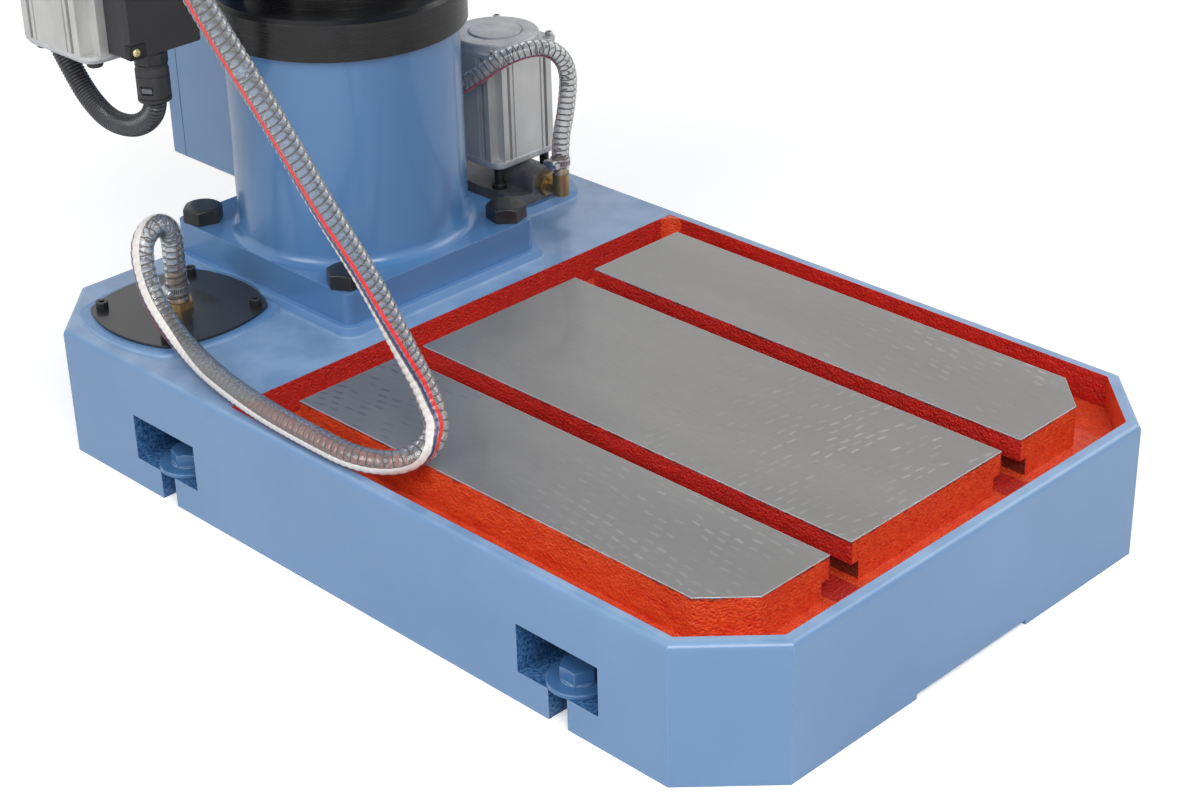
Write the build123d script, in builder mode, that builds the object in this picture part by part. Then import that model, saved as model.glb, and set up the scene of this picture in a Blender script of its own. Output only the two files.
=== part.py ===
from build123d import *
import os
from math import cos, pi, radians, sin, tan

os.makedirs("parts", exist_ok=True)

# A gear-head drill press with a cross table, in millimetres.
# The origin is the middle of the base's underside, the front is -Y and up is +Z.

BOTTOM = (Align.CENTER, Align.CENTER, Align.MIN)
TOP = (Align.CENTER, Align.CENTER, Align.MAX)

# Fits
running_fit = 0.05
slide_gap = 0.3
gear_clearance = 2.0
gear_side_gap = 3.0
cut_margin = 1.0
pressure_angle = 20.0

# Base casting
base_width = 600.0
base_length = 930.0
base_height = 132.0
base_corner = 68.0
rim_round = 6.0
relief_width = 150.0
relief_height = 5.0
relief_depth = 60.0
rim_width = 13.0
trough_length = 602.0
trough_depth = 32.0
trough_corner = 60.0
trough_back_round = 22.0
land_width = 494.0
land_length = 514.6
land_front_gap = 40.0
land_rise = 8.0
land_corner = 38.0
slot_pitch = 227.0
slot_width = 27.0
slot_foot_width = 46.0
slot_foot_height = 18.0
pad_height = 10.0
pad_margin = 10.0
pad_round = 16.0
pad_taper = 20.0
tank_wall = 24.0
tank_floor = 20.0
tank_roof = 34.0
tank_length = 270.0

# Anchor bolts and their pockets
pocket_length = 93.0
pocket_height = 47.0
pocket_floor = 30.0
pocket_depth = 62.0
pocket_front_inset = 189.5
pocket_rear_inset = 218.0
anchor_inset = 26.0
anchor_slot = 22.0
anchor_washer_r = 25.0
anchor_washer_thick = 5.0
anchor_head_r = 17.0
anchor_head_height = 13.0
anchor_shank_r = 10.0
anchor_tip = 2.0

# Column foot
column_setback = 150.0
flange_width = 245.0
flange_length = 269.0
flange_thick = 32.0
flange_round = 10.0
flange_bolt_span_x = 208.0
flange_bolt_span_y = 224.0
flange_bolt_r = 12.0
flange_head_r = 20.5
flange_head_height = 15.0
flange_bolt_depth = 30.0
foot_r = 115.0
foot_height = 242.0
foot_fillet = 10.0

# Column, collars and rack
column_r = 75.0
column_wall = 14.0
collar_r = 124.0
collar_height = 39.0
collar_step_r = 90.0
collar_step = 15.0
collar_chamfer = 4.0
upper_collar_r = 108.0
upper_collar_height = 36.0
rack_module = 4.0
rack_length = 810.0
rack_width = 28.0
rack_stand = 24.0

# Tank cover and its fitting
cover_x = -201.0
cover_back_gap = 121.0
cover_half = 61.0
cover_bulge = 15.0
cover_round = 10.0
cover_thick = 3.0
cover_boss_height = 3.5
cover_margin = 9.0
cover_screw_inset = 8.5
cover_screw_r = 4.0
cover_screw_head_r = 6.0
cover_screw_head = 7.0
cover_opening_r = 46.0
fitting_hex_r = 15.0
fitting_hex_height = 7.0
barb_length = 29.0

# Hoses
return_hose_r = 11.0
return_bore_r = 8.0
delivery_hose_r = 9.25
delivery_bore_r = 6.75
clamp_width = 8.0
clamp_thick = 1.5
clamp_screw_r = 3.6
clamp_screw_length = 20.0
clamp_lift = 13.0

# Coolant pump
pump_x = 218.0
pump_back_gap = 132.0
pump_flange_width = 88.0
pump_flange_front = 71.0
pump_flange_rear = 62.0
pump_flange_thick = 11.0
pump_flange_round = 22.0
pump_pad_round = 30.0
pump_riser_r = 32.0
pump_riser_wall = 5.0
pump_riser_gap = 1.0
pump_riser_length = 88.0
pump_stud_span = 66.0
pump_stud_r = 5.0
pump_stud_gap = 25.0
pump_motor_width = 91.0
pump_motor_height = 119.0
pump_motor_corner = 10.0
pump_cap_plate = 5.0
pump_cap_height = 13.0
pump_cap_disc_r = 28.0
pump_cap_disc = 1.5
outlet_offset = 4.0
outlet_r = 17.0
outlet_rise = 7.0
outlet_bore_r = 9.0
outlet_bore_share = 0.76
outlet_port_r = 6.0
elbow_r = 8.5
elbow_leg_r = 7.5
elbow_reach = 25.0
elbow_drop = 6.0
elbow_nut_r = 13.0
elbow_nut = 8.0
elbow_shoulder = 18.0
elbow_barb = 14.0
impeller_r = 24.0
impeller_shaft_r = 6.0
impeller_height = 9.0
impeller_vanes = 6
impeller_vane_thick = 2.5

# Electric cabinet
cabinet_left = -40.0
cabinet_width = 280.0
cabinet_depth = 98.0
cabinet_height = 410.0
cabinet_bottom = 189.0
cabinet_wall = 3.0
cabinet_lip = 14.0
cabinet_standoff = 10.0
cabinet_round = 6.0
door_thick = 20.0
door_skin = 3.0
door_gap = 1.0
hinge_pin_r = 3.0
hinge_barrel_r = 6.5
hinge_barrel_length = 40.0
hinge_offset = 7.5
hinge_inset = 70.0
switch_plate = 60.0
switch_plate_thick = 4.0
switch_knob_r = 22.0
switch_knob_height = 20.0
switch_grip = 14.0
switch_rise = 300.0
rail_width = 35.0
rail_thick = 7.5
contactor_width = 45.0
contactor_height = 74.0
contactor_depth = 66.0
contactor_pitch = 56.0
contactor_count = 4
rail_share = 0.6585
terminal_rail_share = 0.2683
terminal_width = 200.0
terminal_height = 44.0
terminal_depth = 38.0

# Table bracket and its lift
sleeve_r = 118.0
sleeve_height = 270.0
lift_down = 45.0
lift_stop_gap = 2.0
arm_width = 200.0
arm_nose = 62.0
arm_low = 70.0
arm_pocket_front = 120.0
arm_pocket_depth = 24.0
arm_rib = 24.0
arm_flange = 30.0
ear_reach = 54.0
ear_width = 60.0
ear_slit = 4.0
clamp_rod_r = 8.0
clamp_hub_r = 16.0
clamp_hub_length = 22.0
clamp_arm_r = 6.0
clamp_arm_length = 105.0
clamp_ball_r = 14.0
clamp_tilt = 60.0
pinion_teeth = 14
pinion_width = 26.0
pinion_shaft_r = 12.0
pinion_rise = 155.0
gear_pad_reach = 160.0
gear_pad_half_height = 52.0
gear_pad_front = 47.0
gear_pad_rear = 57.0
gearbox_length = 172.0
gearbox_depth = 80.0
gearbox_below = 63.0
gearbox_above = 65.0
gearbox_round = 10.0
lift_motor_x = -217.0
lift_motor_back = 75.0
lift_motor_width = 114.0
lift_motor_height = 141.0
lift_motor_corner = 17.0
lift_shield = 12.0
lift_plate_thick = 12.0
lift_plate_front = 57.0
lift_plate_rear = 115.0
lift_plate_margin = 3.0
lift_cap_thick = 12.0
lift_cap_taper = 30.0
terminal_box_width = 78.0
terminal_box_height = 96.0
terminal_box_depth = 28.0
terminal_box_offset = 4.0
terminal_box_wall = 3.0
terminal_lid_thick = 6.0
terminal_lid_taper = 12.0
gland_nut_r = 16.0
gland_inset = 16.5
gland_offset = 2.5
gland_nut = 12.0
gland_r = 15.5
gland_length = 36.0
conduit_r = 10.6
conduit_root_r = 9.1
conduit_bore_r = 7.4
conduit_ribs = 40
conduit_setback = 33.0

# Cross table
way_width = 150.0
way_height = 22.0
way_slope = 12.0
way_length = 380.0
saddle_width = 260.0
saddle_length = 250.0
saddle_height = 80.0
table_length = 800.0
table_width = 240.0
table_height = 65.0
table_slot_count = 3
table_slot_pitch = 63.0
table_slot_width = 14.0
table_slot_depth = 23.0
table_slot_foot_width = 25.0
table_slot_foot_height = 10.0
gutter_width = 16.0
gutter_depth = 24.0
gutter_rim = 7.0
end_lug_thick = 18.0
end_lug_width = 90.0
end_lug_drop = 60.0
screw_r = 11.0
x_screw_rise = 51.0
y_screw_drop = 25.0
screw_groove = 46.0
screw_groove_depth = 44.0
screw_wall = 25.0
nut_width = 40.0
nut_length = 56.0
nut_r = 20.0
nut_drop = 16.0
y_bearing_r = 22.0
y_bearing_length = 30.0
wheel_r = 72.0
wheel_rim_r = 8.0
wheel_spoke_r = 6.5
wheel_hub_r = 20.0
wheel_hub_length = 40.0
wheel_rim_offset = 26.0
dial_r = 28.0
dial_length = 14.0
grip_r = 9.0
grip_length = 62.0
drain_offset = 75.0
drain_reach = 30.0
drain_drop = 50.0
drain_rise = 2.0
drain_bore_r = 7.0
drain_flange_r = 17.0
drain_flange_thick = 6.0

# Head
throat = 350.0
head_bottom = 1440.0
head_height = 410.0
head_width = 300.0
head_front = 135.0
head_length = 360.0
head_round = 40.0
head_neck_width = 200.0
head_boss_r = 128.0
head_edge = 8.0
nose_r = 74.0
nose_length = 20.0
chamber_width = 224.0
chamber_depth = 140.0
chamber_margin = 12.0
head_floor = 20.0
cover_plate = 14.0
cover_plate_inset = 6.0
spindle_cap_r = 31.0
spindle_cap_height = 92.0
spindle_cap_wall = 8.0
gear_module = 3.5
spindle_teeth = 48
motor_teeth = 24
gear_width = 30.0
gear_rise = 30.0
gear_hub_r = 30.0
gear_hub_flange_r = 42.0
motor_shaft_r = 14.0
motor_shaft_drop = 15.0
motor_shaft_socket = 26.0
motor_flange_r = 94.0
motor_flange_thick = 18.0
motor_core_r = 76.0
motor_fin_r = 88.0
motor_fin_thick = 3.0
motor_fin_count = 28
motor_fin_root = 1.0
motor_body_height = 200.0
motor_shield = 12.0
motor_box_width = 92.0
motor_box_height = 96.0
motor_box_reach = 46.0
motor_box_sink = 6.0
fan_cover_r = 89.0
fan_cover_height = 66.0
fan_cover_wall = 4.0
fan_slot_width = 5.0
fan_slot_count = 12

# Quill, spindle and feed
quill_r = 50.0
quill_length = 335.0
quill_drop = 97.0
quill_rack_module = 2.5
quill_rack_inset = 5.0
feed_teeth = 16
feed_pinion_width = 28.0
feed_shaft_r = 14.0
feed_shaft_left = 62.0
feed_rise = 65.0
spindle_r = 22.0
spindle_spline_r = 18.0
spindle_spline_length = 240.0
spindle_nose_r = 34.0
spindle_nose = 25.0
spindle_chamfer = 2.0
socket_mouth_r = 15.6
socket_end_r = 13.0
socket_depth = 102.0
feed_hub_r = 42.0
feed_hub_length = 54.0
feed_hub_chamfer = 5.0
feed_dial_r = 56.0
feed_dial_length = 16.0
feed_lever_count = 3
feed_lever_r = 7.5
feed_lever_length = 205.0
feed_lever_tilt = 68.0
feed_lever_seat = 20.0
feed_knob_r = 19.0
spring_cap_r = 44.0
spring_cap_height = 26.0

# Controls
lever_spacing = 150.0
lever_rise = 170.0
lever_hub_r = 24.0
lever_hub_length = 26.0
lever_hub_chamfer = 3.0
lever_spigot_r = 12.0
lever_spigot_length = 18.0
lever_arm_r = 6.5
lever_arm_length = 84.0
lever_tilt = 72.0
lever_knob_r = 15.0
panel_width = 190.0
panel_height = 120.0
panel_depth = 34.0
panel_round = 10.0
panel_rise = 330.0
button_r = 13.0
button_height = 9.0
button_stem_r = 9.0
button_stem_length = 20.0
button_travel = 4.0
button_spacing = 56.0
stop_knob_r = 20.0
stop_knob_height = 20.0

# Coolant nozzle
cock_x = 130.0
cock_offset = 24.0
cock_r = 12.0
cock_height = 42.0
cock_stub_r = 9.0
cock_rise = 15.0
nozzle_r = 6.0
nozzle_x = 96.0
nozzle_fall = 66.0
nozzle_lead = 40.0

# Heights and places that follow from the sizes
pad_top = base_height + pad_height
flange_top = pad_top + flange_thick
foot_top = pad_top + foot_height
collar_top = foot_top + collar_height
rack_bottom = collar_top + collar_step
rack_top = rack_bottom + rack_length
trough_floor = base_height - trough_depth
trough_front = -base_length / 2 + rim_width
trough_back = trough_front + trough_length
trough_middle = (trough_front + trough_back) / 2
pocket_front_y = -base_length / 2 + pocket_front_inset
pocket_rear_y = base_length / 2 - pocket_rear_inset
land_middle = trough_front + land_front_gap + land_length / 2
column_y = base_length / 2 - column_setback
spindle_y = column_y - throat
cover_y = base_length / 2 - cover_back_gap
cover_bottom = base_height + cover_boss_height
cover_top = cover_bottom + cover_thick
pump_y = base_length / 2 - pump_back_gap
sleeve_bottom = rack_bottom + lift_down + lift_stop_gap
arm_top = sleeve_bottom + sleeve_height
head_top = head_bottom + head_height
column_height = head_top - pad_top
flank = tan(radians(pressure_angle))


def hex_bolt(head_r, head_height, shank_r, shank_length):
    """A hex bolt that stands on its head's underside, with a bevelled crown."""
    with BuildPart() as bolt:
        with BuildSketch() as head:
            RegularPolygon(head_r, 6)
        extrude(amount=head_height)
        with BuildSketch(Plane.XZ) as crown:
            with BuildLine():
                Polyline(
                    (0, 0),
                    (head_r, 0),
                    (head_r, head_height - head_r * 0.12),
                    (head_r * 0.86, head_height),
                    (0, head_height),
                    close=True,
                )
            make_face()
        revolve(axis=Axis.Z, mode=Mode.INTERSECT)
        Cylinder(shank_r, shank_length, align=TOP)
    return bolt.part


def cushion(plane, half, bulge, corner):
    """A square with bowed sides and rounded corners."""
    corners = [(-half, -half), (half, -half), (half, half), (-half, half)]
    middles = [(0, -half - bulge), (half + bulge, 0), (0, half + bulge), (-half - bulge, 0)]
    with BuildSketch(plane) as outline:
        with BuildLine():
            for step in range(4):
                ThreePointArc(corners[step], middles[step], corners[(step + 1) % 4])
        make_face()
        fillet(outline.vertices(), corner)
    return outline.sketch


def gear_outline(plane, teeth, module, start=0.0):
    """A spur gear's outline, with a tooth at the angle start, in degrees."""
    pitch_r = teeth * module / 2
    tip_r = pitch_r + 0.9 * module
    root_r = pitch_r - 1.25 * module
    half_root = 1.0 * module / root_r
    half_tip = 0.30 * module / tip_r
    corners = []
    for tooth in range(teeth):
        middle = radians(start + 360.0 * tooth / teeth)
        for radius, turn in (
            (root_r, -half_root),
            (tip_r, -half_tip),
            (tip_r, half_tip),
            (root_r, half_root),
        ):
            corners.append((radius * cos(middle + turn), radius * sin(middle + turn)))
    with BuildSketch(plane) as outline:
        Polygon(*corners, align=None)
    return outline.sketch


def dovetail(plane, width, slope, height, gap=0.0):
    """A dovetail's section, wide at the top, standing on the plane's x axis."""
    half_top = width / 2 + 2 * gap
    half_bottom = width / 2 - slope + 2 * gap
    with BuildSketch(plane) as section:
        with BuildLine():
            Polyline(
                (-half_bottom, 0),
                (half_bottom, 0),
                (half_top, height + gap),
                (-half_top, height + gap),
                close=True,
            )
        make_face()
    return section.sketch


def motor_section(plane, width, corner):
    """A square motor extrusion with bevelled corners and two grooves on each side."""
    groove_place = width * 0.27
    groove_width = width * 0.035
    groove_depth = width * 0.035
    with BuildSketch(plane) as section:
        outline = Rectangle(width, width)
        chamfer(outline.vertices(), corner)
        for side in range(4):
            angle = 90.0 * side
            for place in (-groove_place, groove_place):
                with Locations(Location((0, 0, 0), (0, 0, angle))):
                    with Locations((width / 2, place)):
                        Rectangle(2 * groove_depth, groove_width, mode=Mode.SUBTRACT)
    return section.sketch


def bend_radii(points):
    """The largest radii that a route's runs leave room for, one for each corner."""
    radii = []
    for before, corner, after in zip(points, points[1:], points[2:]):
        run_in = Vector(*corner) - Vector(*before)
        run_out = Vector(*after) - Vector(*corner)
        turn = run_in.get_angle(run_out)
        shorter = min(run_in.length, run_out.length)
        radii.append(0.45 * shorter / tan(radians(turn / 2)))
    return radii


def hose_tube(name, points, outer_r, bore_r):
    """A hose along its route; prints its bends and its volume against section times length."""
    radii = bend_radii(points)
    with BuildPart() as hose:
        with BuildLine() as route:
            FilletPolyline(*points, radius=radii)
        with BuildSketch(Plane(origin=route.wire() @ 0, z_dir=route.wire() % 0)):
            Circle(outer_r)
            Circle(bore_r, mode=Mode.SUBTRACT)
        sweep(path=route.wire())
    length = route.wire().length
    expected = pi * (outer_r**2 - bore_r**2) * length
    print(name, "length", round(length, 1), "volume ratio", round(hose.part.volume / expected, 4))
    print(name, "radii", [round(radius) for radius in radii])
    return hose.part


def steps_from(anchor, steps):
    """The points that lie the given steps away from an anchor."""
    return [tuple(place + step for place, step in zip(anchor, move)) for move in steps]


def hose_clamp(hose_r):
    """A worm clamp about the Z axis, with its screw housing on the -X side."""
    band_r = hose_r + slide_gap + clamp_thick
    with BuildPart() as clamp:
        Cylinder(band_r, clamp_width)
        with Locations((-band_r - clamp_screw_r / 2, 0, 0)):
            Cylinder(clamp_screw_r, clamp_screw_length, rotation=(90, 0, 0))
        Cylinder(hose_r + slide_gap, 4 * clamp_width, mode=Mode.SUBTRACT)
    return clamp.part


def handwheel(plane):
    """A spoked handwheel with its dial, hub along the plane's normal."""
    with BuildPart(plane) as wheel:
        Cylinder(dial_r, dial_length, align=BOTTOM)
        Cylinder(wheel_hub_r, wheel_hub_length, align=BOTTOM)
        with Locations((0, 0, wheel_rim_offset)):
            Torus(wheel_r, wheel_rim_r)
            with PolarLocations(wheel_r / 2, 3):
                Cylinder(wheel_spoke_r, wheel_r, rotation=(0, 90, 0))
    return wheel.part


def wheel_grip():
    """The grip of a handwheel, standing on its foot, with a swell near its end."""
    with BuildPart() as grip:
        with BuildSketch(Plane.XZ):
            with BuildLine():
                Line((0, 0), (grip_r * 0.7, 0))
                Spline(
                    (grip_r * 0.7, 0),
                    (grip_r * 0.8, grip_length * 0.3),
                    (grip_r, grip_length * 0.7),
                    (grip_r * 0.7, grip_length * 0.95),
                )
                Line((grip_r * 0.7, grip_length * 0.95), (grip_r * 0.4, grip_length))
                Line((grip_r * 0.4, grip_length), (0, grip_length))
                Line((0, grip_length), (0, 0))
            make_face()
        revolve(axis=Axis.Z)
    return grip.part


# Base casting with trough, lands, pads, foot pockets and the coolant tank
tank_back = base_length / 2 - tank_wall
tank_middle = tank_back - tank_length / 2
anchor_places = [
    (side * (base_width / 2 - anchor_inset), place)
    for side in (-1, 1)
    for place in (pocket_front_y, pocket_rear_y)
]
pocket_places = [
    (side * (base_width - pocket_depth) / 2, place)
    for side in (-1, 1)
    for place in (pocket_front_y, pocket_rear_y)
]
flange_bolt_places = [
    (side * flange_bolt_span_x / 2, column_y + end * flange_bolt_span_y / 2)
    for side in (-1, 1)
    for end in (-1, 1)
]

with BuildPart() as base_casting:
    with BuildSketch() as base_outline:
        Rectangle(base_width, base_length)
        chamfer(base_outline.vertices(), base_corner)
    extrude(amount=base_height)
    fillet(base_casting.faces().sort_by(Axis.Z)[-1].edges(), rim_round)
    with Locations((0, -base_length / 2), (0, base_length / 2)):
        Box(relief_width, 2 * relief_depth, relief_height, align=BOTTOM, mode=Mode.SUBTRACT)
    with BuildSketch(Plane.XY.offset(base_height)) as trough_outline:
        with Locations((0, trough_middle)):
            Rectangle(base_width - 2 * rim_width, trough_length)
        chamfer(trough_outline.vertices().group_by(Axis.Y)[0], trough_corner)
        fillet(trough_outline.vertices().group_by(Axis.Y)[-1], trough_back_round)
    extrude(amount=-trough_depth, mode=Mode.SUBTRACT)
    with BuildSketch(Plane.XY.offset(trough_floor)) as land_outline:
        with Locations((0, land_middle)):
            Rectangle(land_width, land_length)
        chamfer(land_outline.vertices().group_by(Axis.Y)[0], land_corner)
        with Locations((-slot_pitch / 2, land_middle), (slot_pitch / 2, land_middle)):
            Rectangle(slot_width, land_length, mode=Mode.SUBTRACT)
    extrude(amount=trough_depth + land_rise)
    with Locations(
        (-slot_pitch / 2, land_middle, trough_floor),
        (slot_pitch / 2, land_middle, trough_floor),
    ):
        Box(slot_foot_width, land_length, slot_foot_height, align=BOTTOM, mode=Mode.SUBTRACT)
    with BuildSketch(Plane.XY.offset(base_height)):
        with Locations((0, column_y)):
            RectangleRounded(flange_width + 2 * pad_margin, flange_length + 2 * pad_margin, pad_round)
        with Locations((pump_x, pump_y + (pump_flange_rear - pump_flange_front) / 2)):
            RectangleRounded(
                pump_flange_width + 2 * pad_margin,
                pump_flange_front + pump_flange_rear + 2 * pad_margin,
                pump_pad_round,
            )
    extrude(amount=pad_height, taper=pad_taper)
    boss_plane = Plane((cover_x, cover_y, base_height))
    extrude(
        cushion(boss_plane, cover_half + cover_margin, cover_bulge, cover_round + cover_margin),
        amount=cover_boss_height,
        taper=pad_taper,
    )
    cover_plane = boss_plane.offset(cover_boss_height)
    extrude(
        cushion(cover_plane, cover_half + slide_gap, cover_bulge, cover_round + slide_gap),
        amount=pad_height,
        mode=Mode.SUBTRACT,
    )
    with BuildSketch(Plane.XY.offset(tank_floor)) as tank_outline:
        tank_block = Rectangle(base_width - 2 * tank_wall, base_length - 2 * tank_wall)
        chamfer(tank_block.vertices(), base_corner)
        with Locations((0, tank_middle)):
            Rectangle(base_width, tank_length, mode=Mode.INTERSECT)
        with Locations(*[(x, pocket_rear_y) for x in (-base_width / 2, base_width / 2)]):
            Rectangle(
                2 * (pocket_depth + tank_wall), pocket_length + 2 * tank_wall, mode=Mode.SUBTRACT
            )
        with Locations((0, column_y)):
            Rectangle(flange_width, flange_length - 2 * tank_wall, mode=Mode.SUBTRACT)
    extrude(amount=base_height - tank_roof - tank_floor, mode=Mode.SUBTRACT)
    with Locations((cover_x, cover_y, cover_bottom)):
        Cylinder(
            cover_opening_r,
            cover_boss_height + tank_roof + cut_margin,
            align=TOP,
            mode=Mode.SUBTRACT,
        )
    with Locations((pump_x, pump_y, pad_top)):
        Cylinder(pump_riser_r + pump_riser_gap, pad_top - tank_floor, align=TOP, mode=Mode.SUBTRACT)
    with Locations(*[(x, y, pad_top) for x, y in flange_bolt_places]):
        Cylinder(flange_bolt_r, flange_bolt_depth, align=TOP, mode=Mode.SUBTRACT)
    with Locations(*[(x, y, pocket_floor) for x, y in pocket_places]):
        Box(pocket_depth, pocket_length, pocket_height, align=BOTTOM, mode=Mode.SUBTRACT)
    with Locations(*anchor_places):
        Cylinder(anchor_slot / 2, pocket_floor + cut_margin, align=BOTTOM, mode=Mode.SUBTRACT)
    with Locations(
        *[(side * base_width / 2, y) for side in (-1, 1) for y in (pocket_front_y, pocket_rear_y)]
    ):
        Box(2 * anchor_inset, anchor_slot, pocket_floor + cut_margin, align=BOTTOM, mode=Mode.SUBTRACT)
base_casting.part.label = "base_casting"
export_step(base_casting.part, "parts/base_casting.step")

anchor_seat = pocket_floor + anchor_washer_thick
with BuildPart() as anchor_bolts:
    with Locations(*[(x, y, anchor_seat) for x, y in anchor_places]):
        add(hex_bolt(anchor_head_r, anchor_head_height, anchor_shank_r, anchor_seat - anchor_tip))
    for x, y in anchor_places:
        with BuildSketch(Plane.XY.offset(pocket_floor), mode=Mode.PRIVATE) as washer:
            with Locations((x, y)):
                Circle(anchor_washer_r)
                Circle(anchor_shank_r + slide_gap, mode=Mode.SUBTRACT)
        extrude(washer.sketch, amount=anchor_washer_thick - slide_gap)
anchor_bolts.part.label = "anchor_bolts"
export_step(anchor_bolts.part, "parts/anchor_bolts.step")

# Column foot, its bolts and the column
cabinet_front = column_y + foot_r + cabinet_standoff
cabinet_middle = cabinet_left + cabinet_width / 2

with BuildPart() as column_foot:
    with BuildSketch(Plane.XY.offset(pad_top)):
        with Locations((0, column_y)):
            RectangleRounded(flange_width, flange_length, flange_round)
    extrude(amount=flange_thick)
    with Locations((0, column_y, flange_top)):
        Cylinder(foot_r, foot_height - flange_thick, align=BOTTOM)
    foot_edges = column_foot.edges().filter_by(GeomType.CIRCLE)
    fillet(
        foot_edges.filter_by(lambda edge: abs(edge.radius - foot_r) < running_fit).sort_by(Axis.Z)[0],
        foot_fillet,
    )
    with Locations((cabinet_middle / 2, column_y, cabinet_bottom + hinge_inset)):
        Box(
            foot_r,
            cabinet_front - column_y,
            foot_top - cabinet_bottom - hinge_inset - foot_fillet,
            align=(Align.CENTER, Align.MIN, Align.MIN),
        )
    with Locations((0, column_y, pad_top)):
        Cylinder(column_r, foot_height, align=BOTTOM, mode=Mode.SUBTRACT)
    with Locations(*[(x, y, flange_top) for x, y in flange_bolt_places]):
        Cylinder(flange_bolt_r, flange_thick, align=TOP, mode=Mode.SUBTRACT)
column_foot.part.label = "column_foot"
export_step(column_foot.part, "parts/column_foot.step")

with BuildPart() as column_foot_bolts:
    with Locations(*[(x, y, flange_top) for x, y in flange_bolt_places]):
        add(
            hex_bolt(
                flange_head_r, flange_head_height, flange_bolt_r, flange_thick + flange_bolt_depth
            )
        )
column_foot_bolts.part.label = "column_foot_bolts"
export_step(column_foot_bolts.part, "parts/column_foot_bolts.step")

with BuildPart() as column_tube:
    with Locations((0, column_y, pad_top)):
        Cylinder(column_r, column_height, align=BOTTOM)
        Cylinder(column_r - column_wall, column_height - column_wall, align=BOTTOM, mode=Mode.SUBTRACT)
column_tube.part.label = "column_tube"
export_step(column_tube.part, "parts/column_tube.step")

column_plane = Plane(origin=(0, column_y, 0), x_dir=(1, 0, 0), z_dir=(0, -1, 0))
with BuildPart() as rack_collars:
    with BuildSketch(column_plane):
        with BuildLine():
            Polyline(
                (column_r, foot_top),
                (collar_r, foot_top),
                (collar_r, collar_top - collar_chamfer),
                (collar_r - collar_chamfer, collar_top),
                (collar_step_r, collar_top),
                (collar_step_r, rack_bottom),
                (column_r, rack_bottom),
                close=True,
            )
        make_face()
        with BuildLine():
            Polyline(
                (column_r, rack_top),
                (upper_collar_r - collar_chamfer, rack_top),
                (upper_collar_r, rack_top + collar_chamfer),
                (upper_collar_r, rack_top + upper_collar_height - collar_chamfer),
                (upper_collar_r - collar_chamfer, rack_top + upper_collar_height),
                (column_r, rack_top + upper_collar_height),
                close=True,
            )
        make_face()
    revolve(axis=Axis((0, column_y, 0), (0, 0, 1)))
rack_collars.part.label = "rack_collars"
export_step(rack_collars.part, "parts/rack_collars.step")

# Lift rack: its teeth point to -X, with a gap level with the pinion
rack_pitch = pi * rack_module
rack_tip_x = -column_r - rack_stand
rack_pitch_x = rack_tip_x + rack_module
pinion_z = sleeve_bottom + pinion_rise
pinion_x = rack_pitch_x - pinion_teeth * rack_module / 2
gap_count_below = int((pinion_z - rack_bottom) / rack_pitch - 0.5)
gap_count_above = int((rack_top - pinion_z) / rack_pitch - 0.5)
rack_gap_mouth = rack_module * 1.27
rack_gap_root = rack_module * 0.42

with BuildPart() as lift_rack:
    with Locations((rack_tip_x, column_y, rack_bottom)):
        Box(
            rack_stand + column_r / 4,
            rack_width,
            rack_length,
            align=(Align.MIN, Align.CENTER, Align.MIN),
        )
    with Locations((0, column_y, rack_bottom)):
        Cylinder(column_r, rack_length, align=BOTTOM, mode=Mode.SUBTRACT)
    with BuildSketch(column_plane):
        for step in range(-gap_count_below, gap_count_above + 1):
            level = pinion_z + step * rack_pitch
            Polygon(
                (rack_tip_x - cut_margin, level - rack_gap_mouth - cut_margin * flank),
                (rack_pitch_x + 1.25 * rack_module, level - rack_gap_root),
                (rack_pitch_x + 1.25 * rack_module, level + rack_gap_root),
                (rack_tip_x - cut_margin, level + rack_gap_mouth + cut_margin * flank),
                align=None,
            )
    extrude(amount=rack_width / 2, both=True, mode=Mode.SUBTRACT)
lift_rack.part.label = "lift_rack"
export_step(lift_rack.part, "parts/lift_rack.step")

# Tank cover with its screws, fitting and hose clamps
screw_offset = cover_half - cover_screw_inset
cover_screw_places = [
    (cover_x + side * screw_offset, cover_y + end * screw_offset, cover_top)
    for side in (-1, 1)
    for end in (-1, 1)
]
with BuildPart() as tank_cover:
    extrude(cushion(cover_plane, cover_half, cover_bulge, cover_round), amount=cover_thick)
    with Locations(*cover_screw_places):
        Cylinder(cover_screw_r + running_fit, cover_thick, align=TOP, mode=Mode.SUBTRACT)
    with Locations((cover_x, cover_y, cover_top)):
        Cylinder(return_bore_r, cover_thick, align=TOP, mode=Mode.SUBTRACT)
tank_cover.part.label = "tank_cover"
export_step(tank_cover.part, "parts/tank_cover.step")

with BuildPart() as tank_cover_screws:
    with Locations(*cover_screw_places):
        Cylinder(cover_screw_head_r, cover_screw_head, align=BOTTOM)
        Cylinder(cover_screw_r, cover_thick, align=TOP)
    with Locations(*[(x, y, z + cover_screw_head) for x, y, z in cover_screw_places]):
        Cylinder(cover_screw_r * 0.75, cover_screw_head / 2, align=TOP, mode=Mode.SUBTRACT)
tank_cover_screws.part.label = "tank_cover_screws"
export_step(tank_cover_screws.part, "parts/tank_cover_screws.step")

fitting_top = cover_top + fitting_hex_height
with BuildPart() as tank_fitting:
    with BuildSketch(Plane((cover_x, cover_y, cover_top))):
        RegularPolygon(fitting_hex_r, 6)
    extrude(amount=fitting_hex_height)
    with Locations((cover_x, cover_y, fitting_top)):
        Cylinder(return_bore_r - slide_gap, barb_length, align=BOTTOM)
    with Locations((cover_x, cover_y, cover_top)):
        Cylinder(return_bore_r - running_fit, cover_thick, align=TOP)
    with Locations((cover_x, cover_y, cover_bottom)):
        Cylinder(
            return_bore_r * 0.6,
            cover_thick + fitting_hex_height + barb_length,
            align=BOTTOM,
            mode=Mode.SUBTRACT,
        )
tank_fitting.part.label = "tank_fitting"
export_step(tank_fitting.part, "parts/tank_fitting.step")

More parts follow.
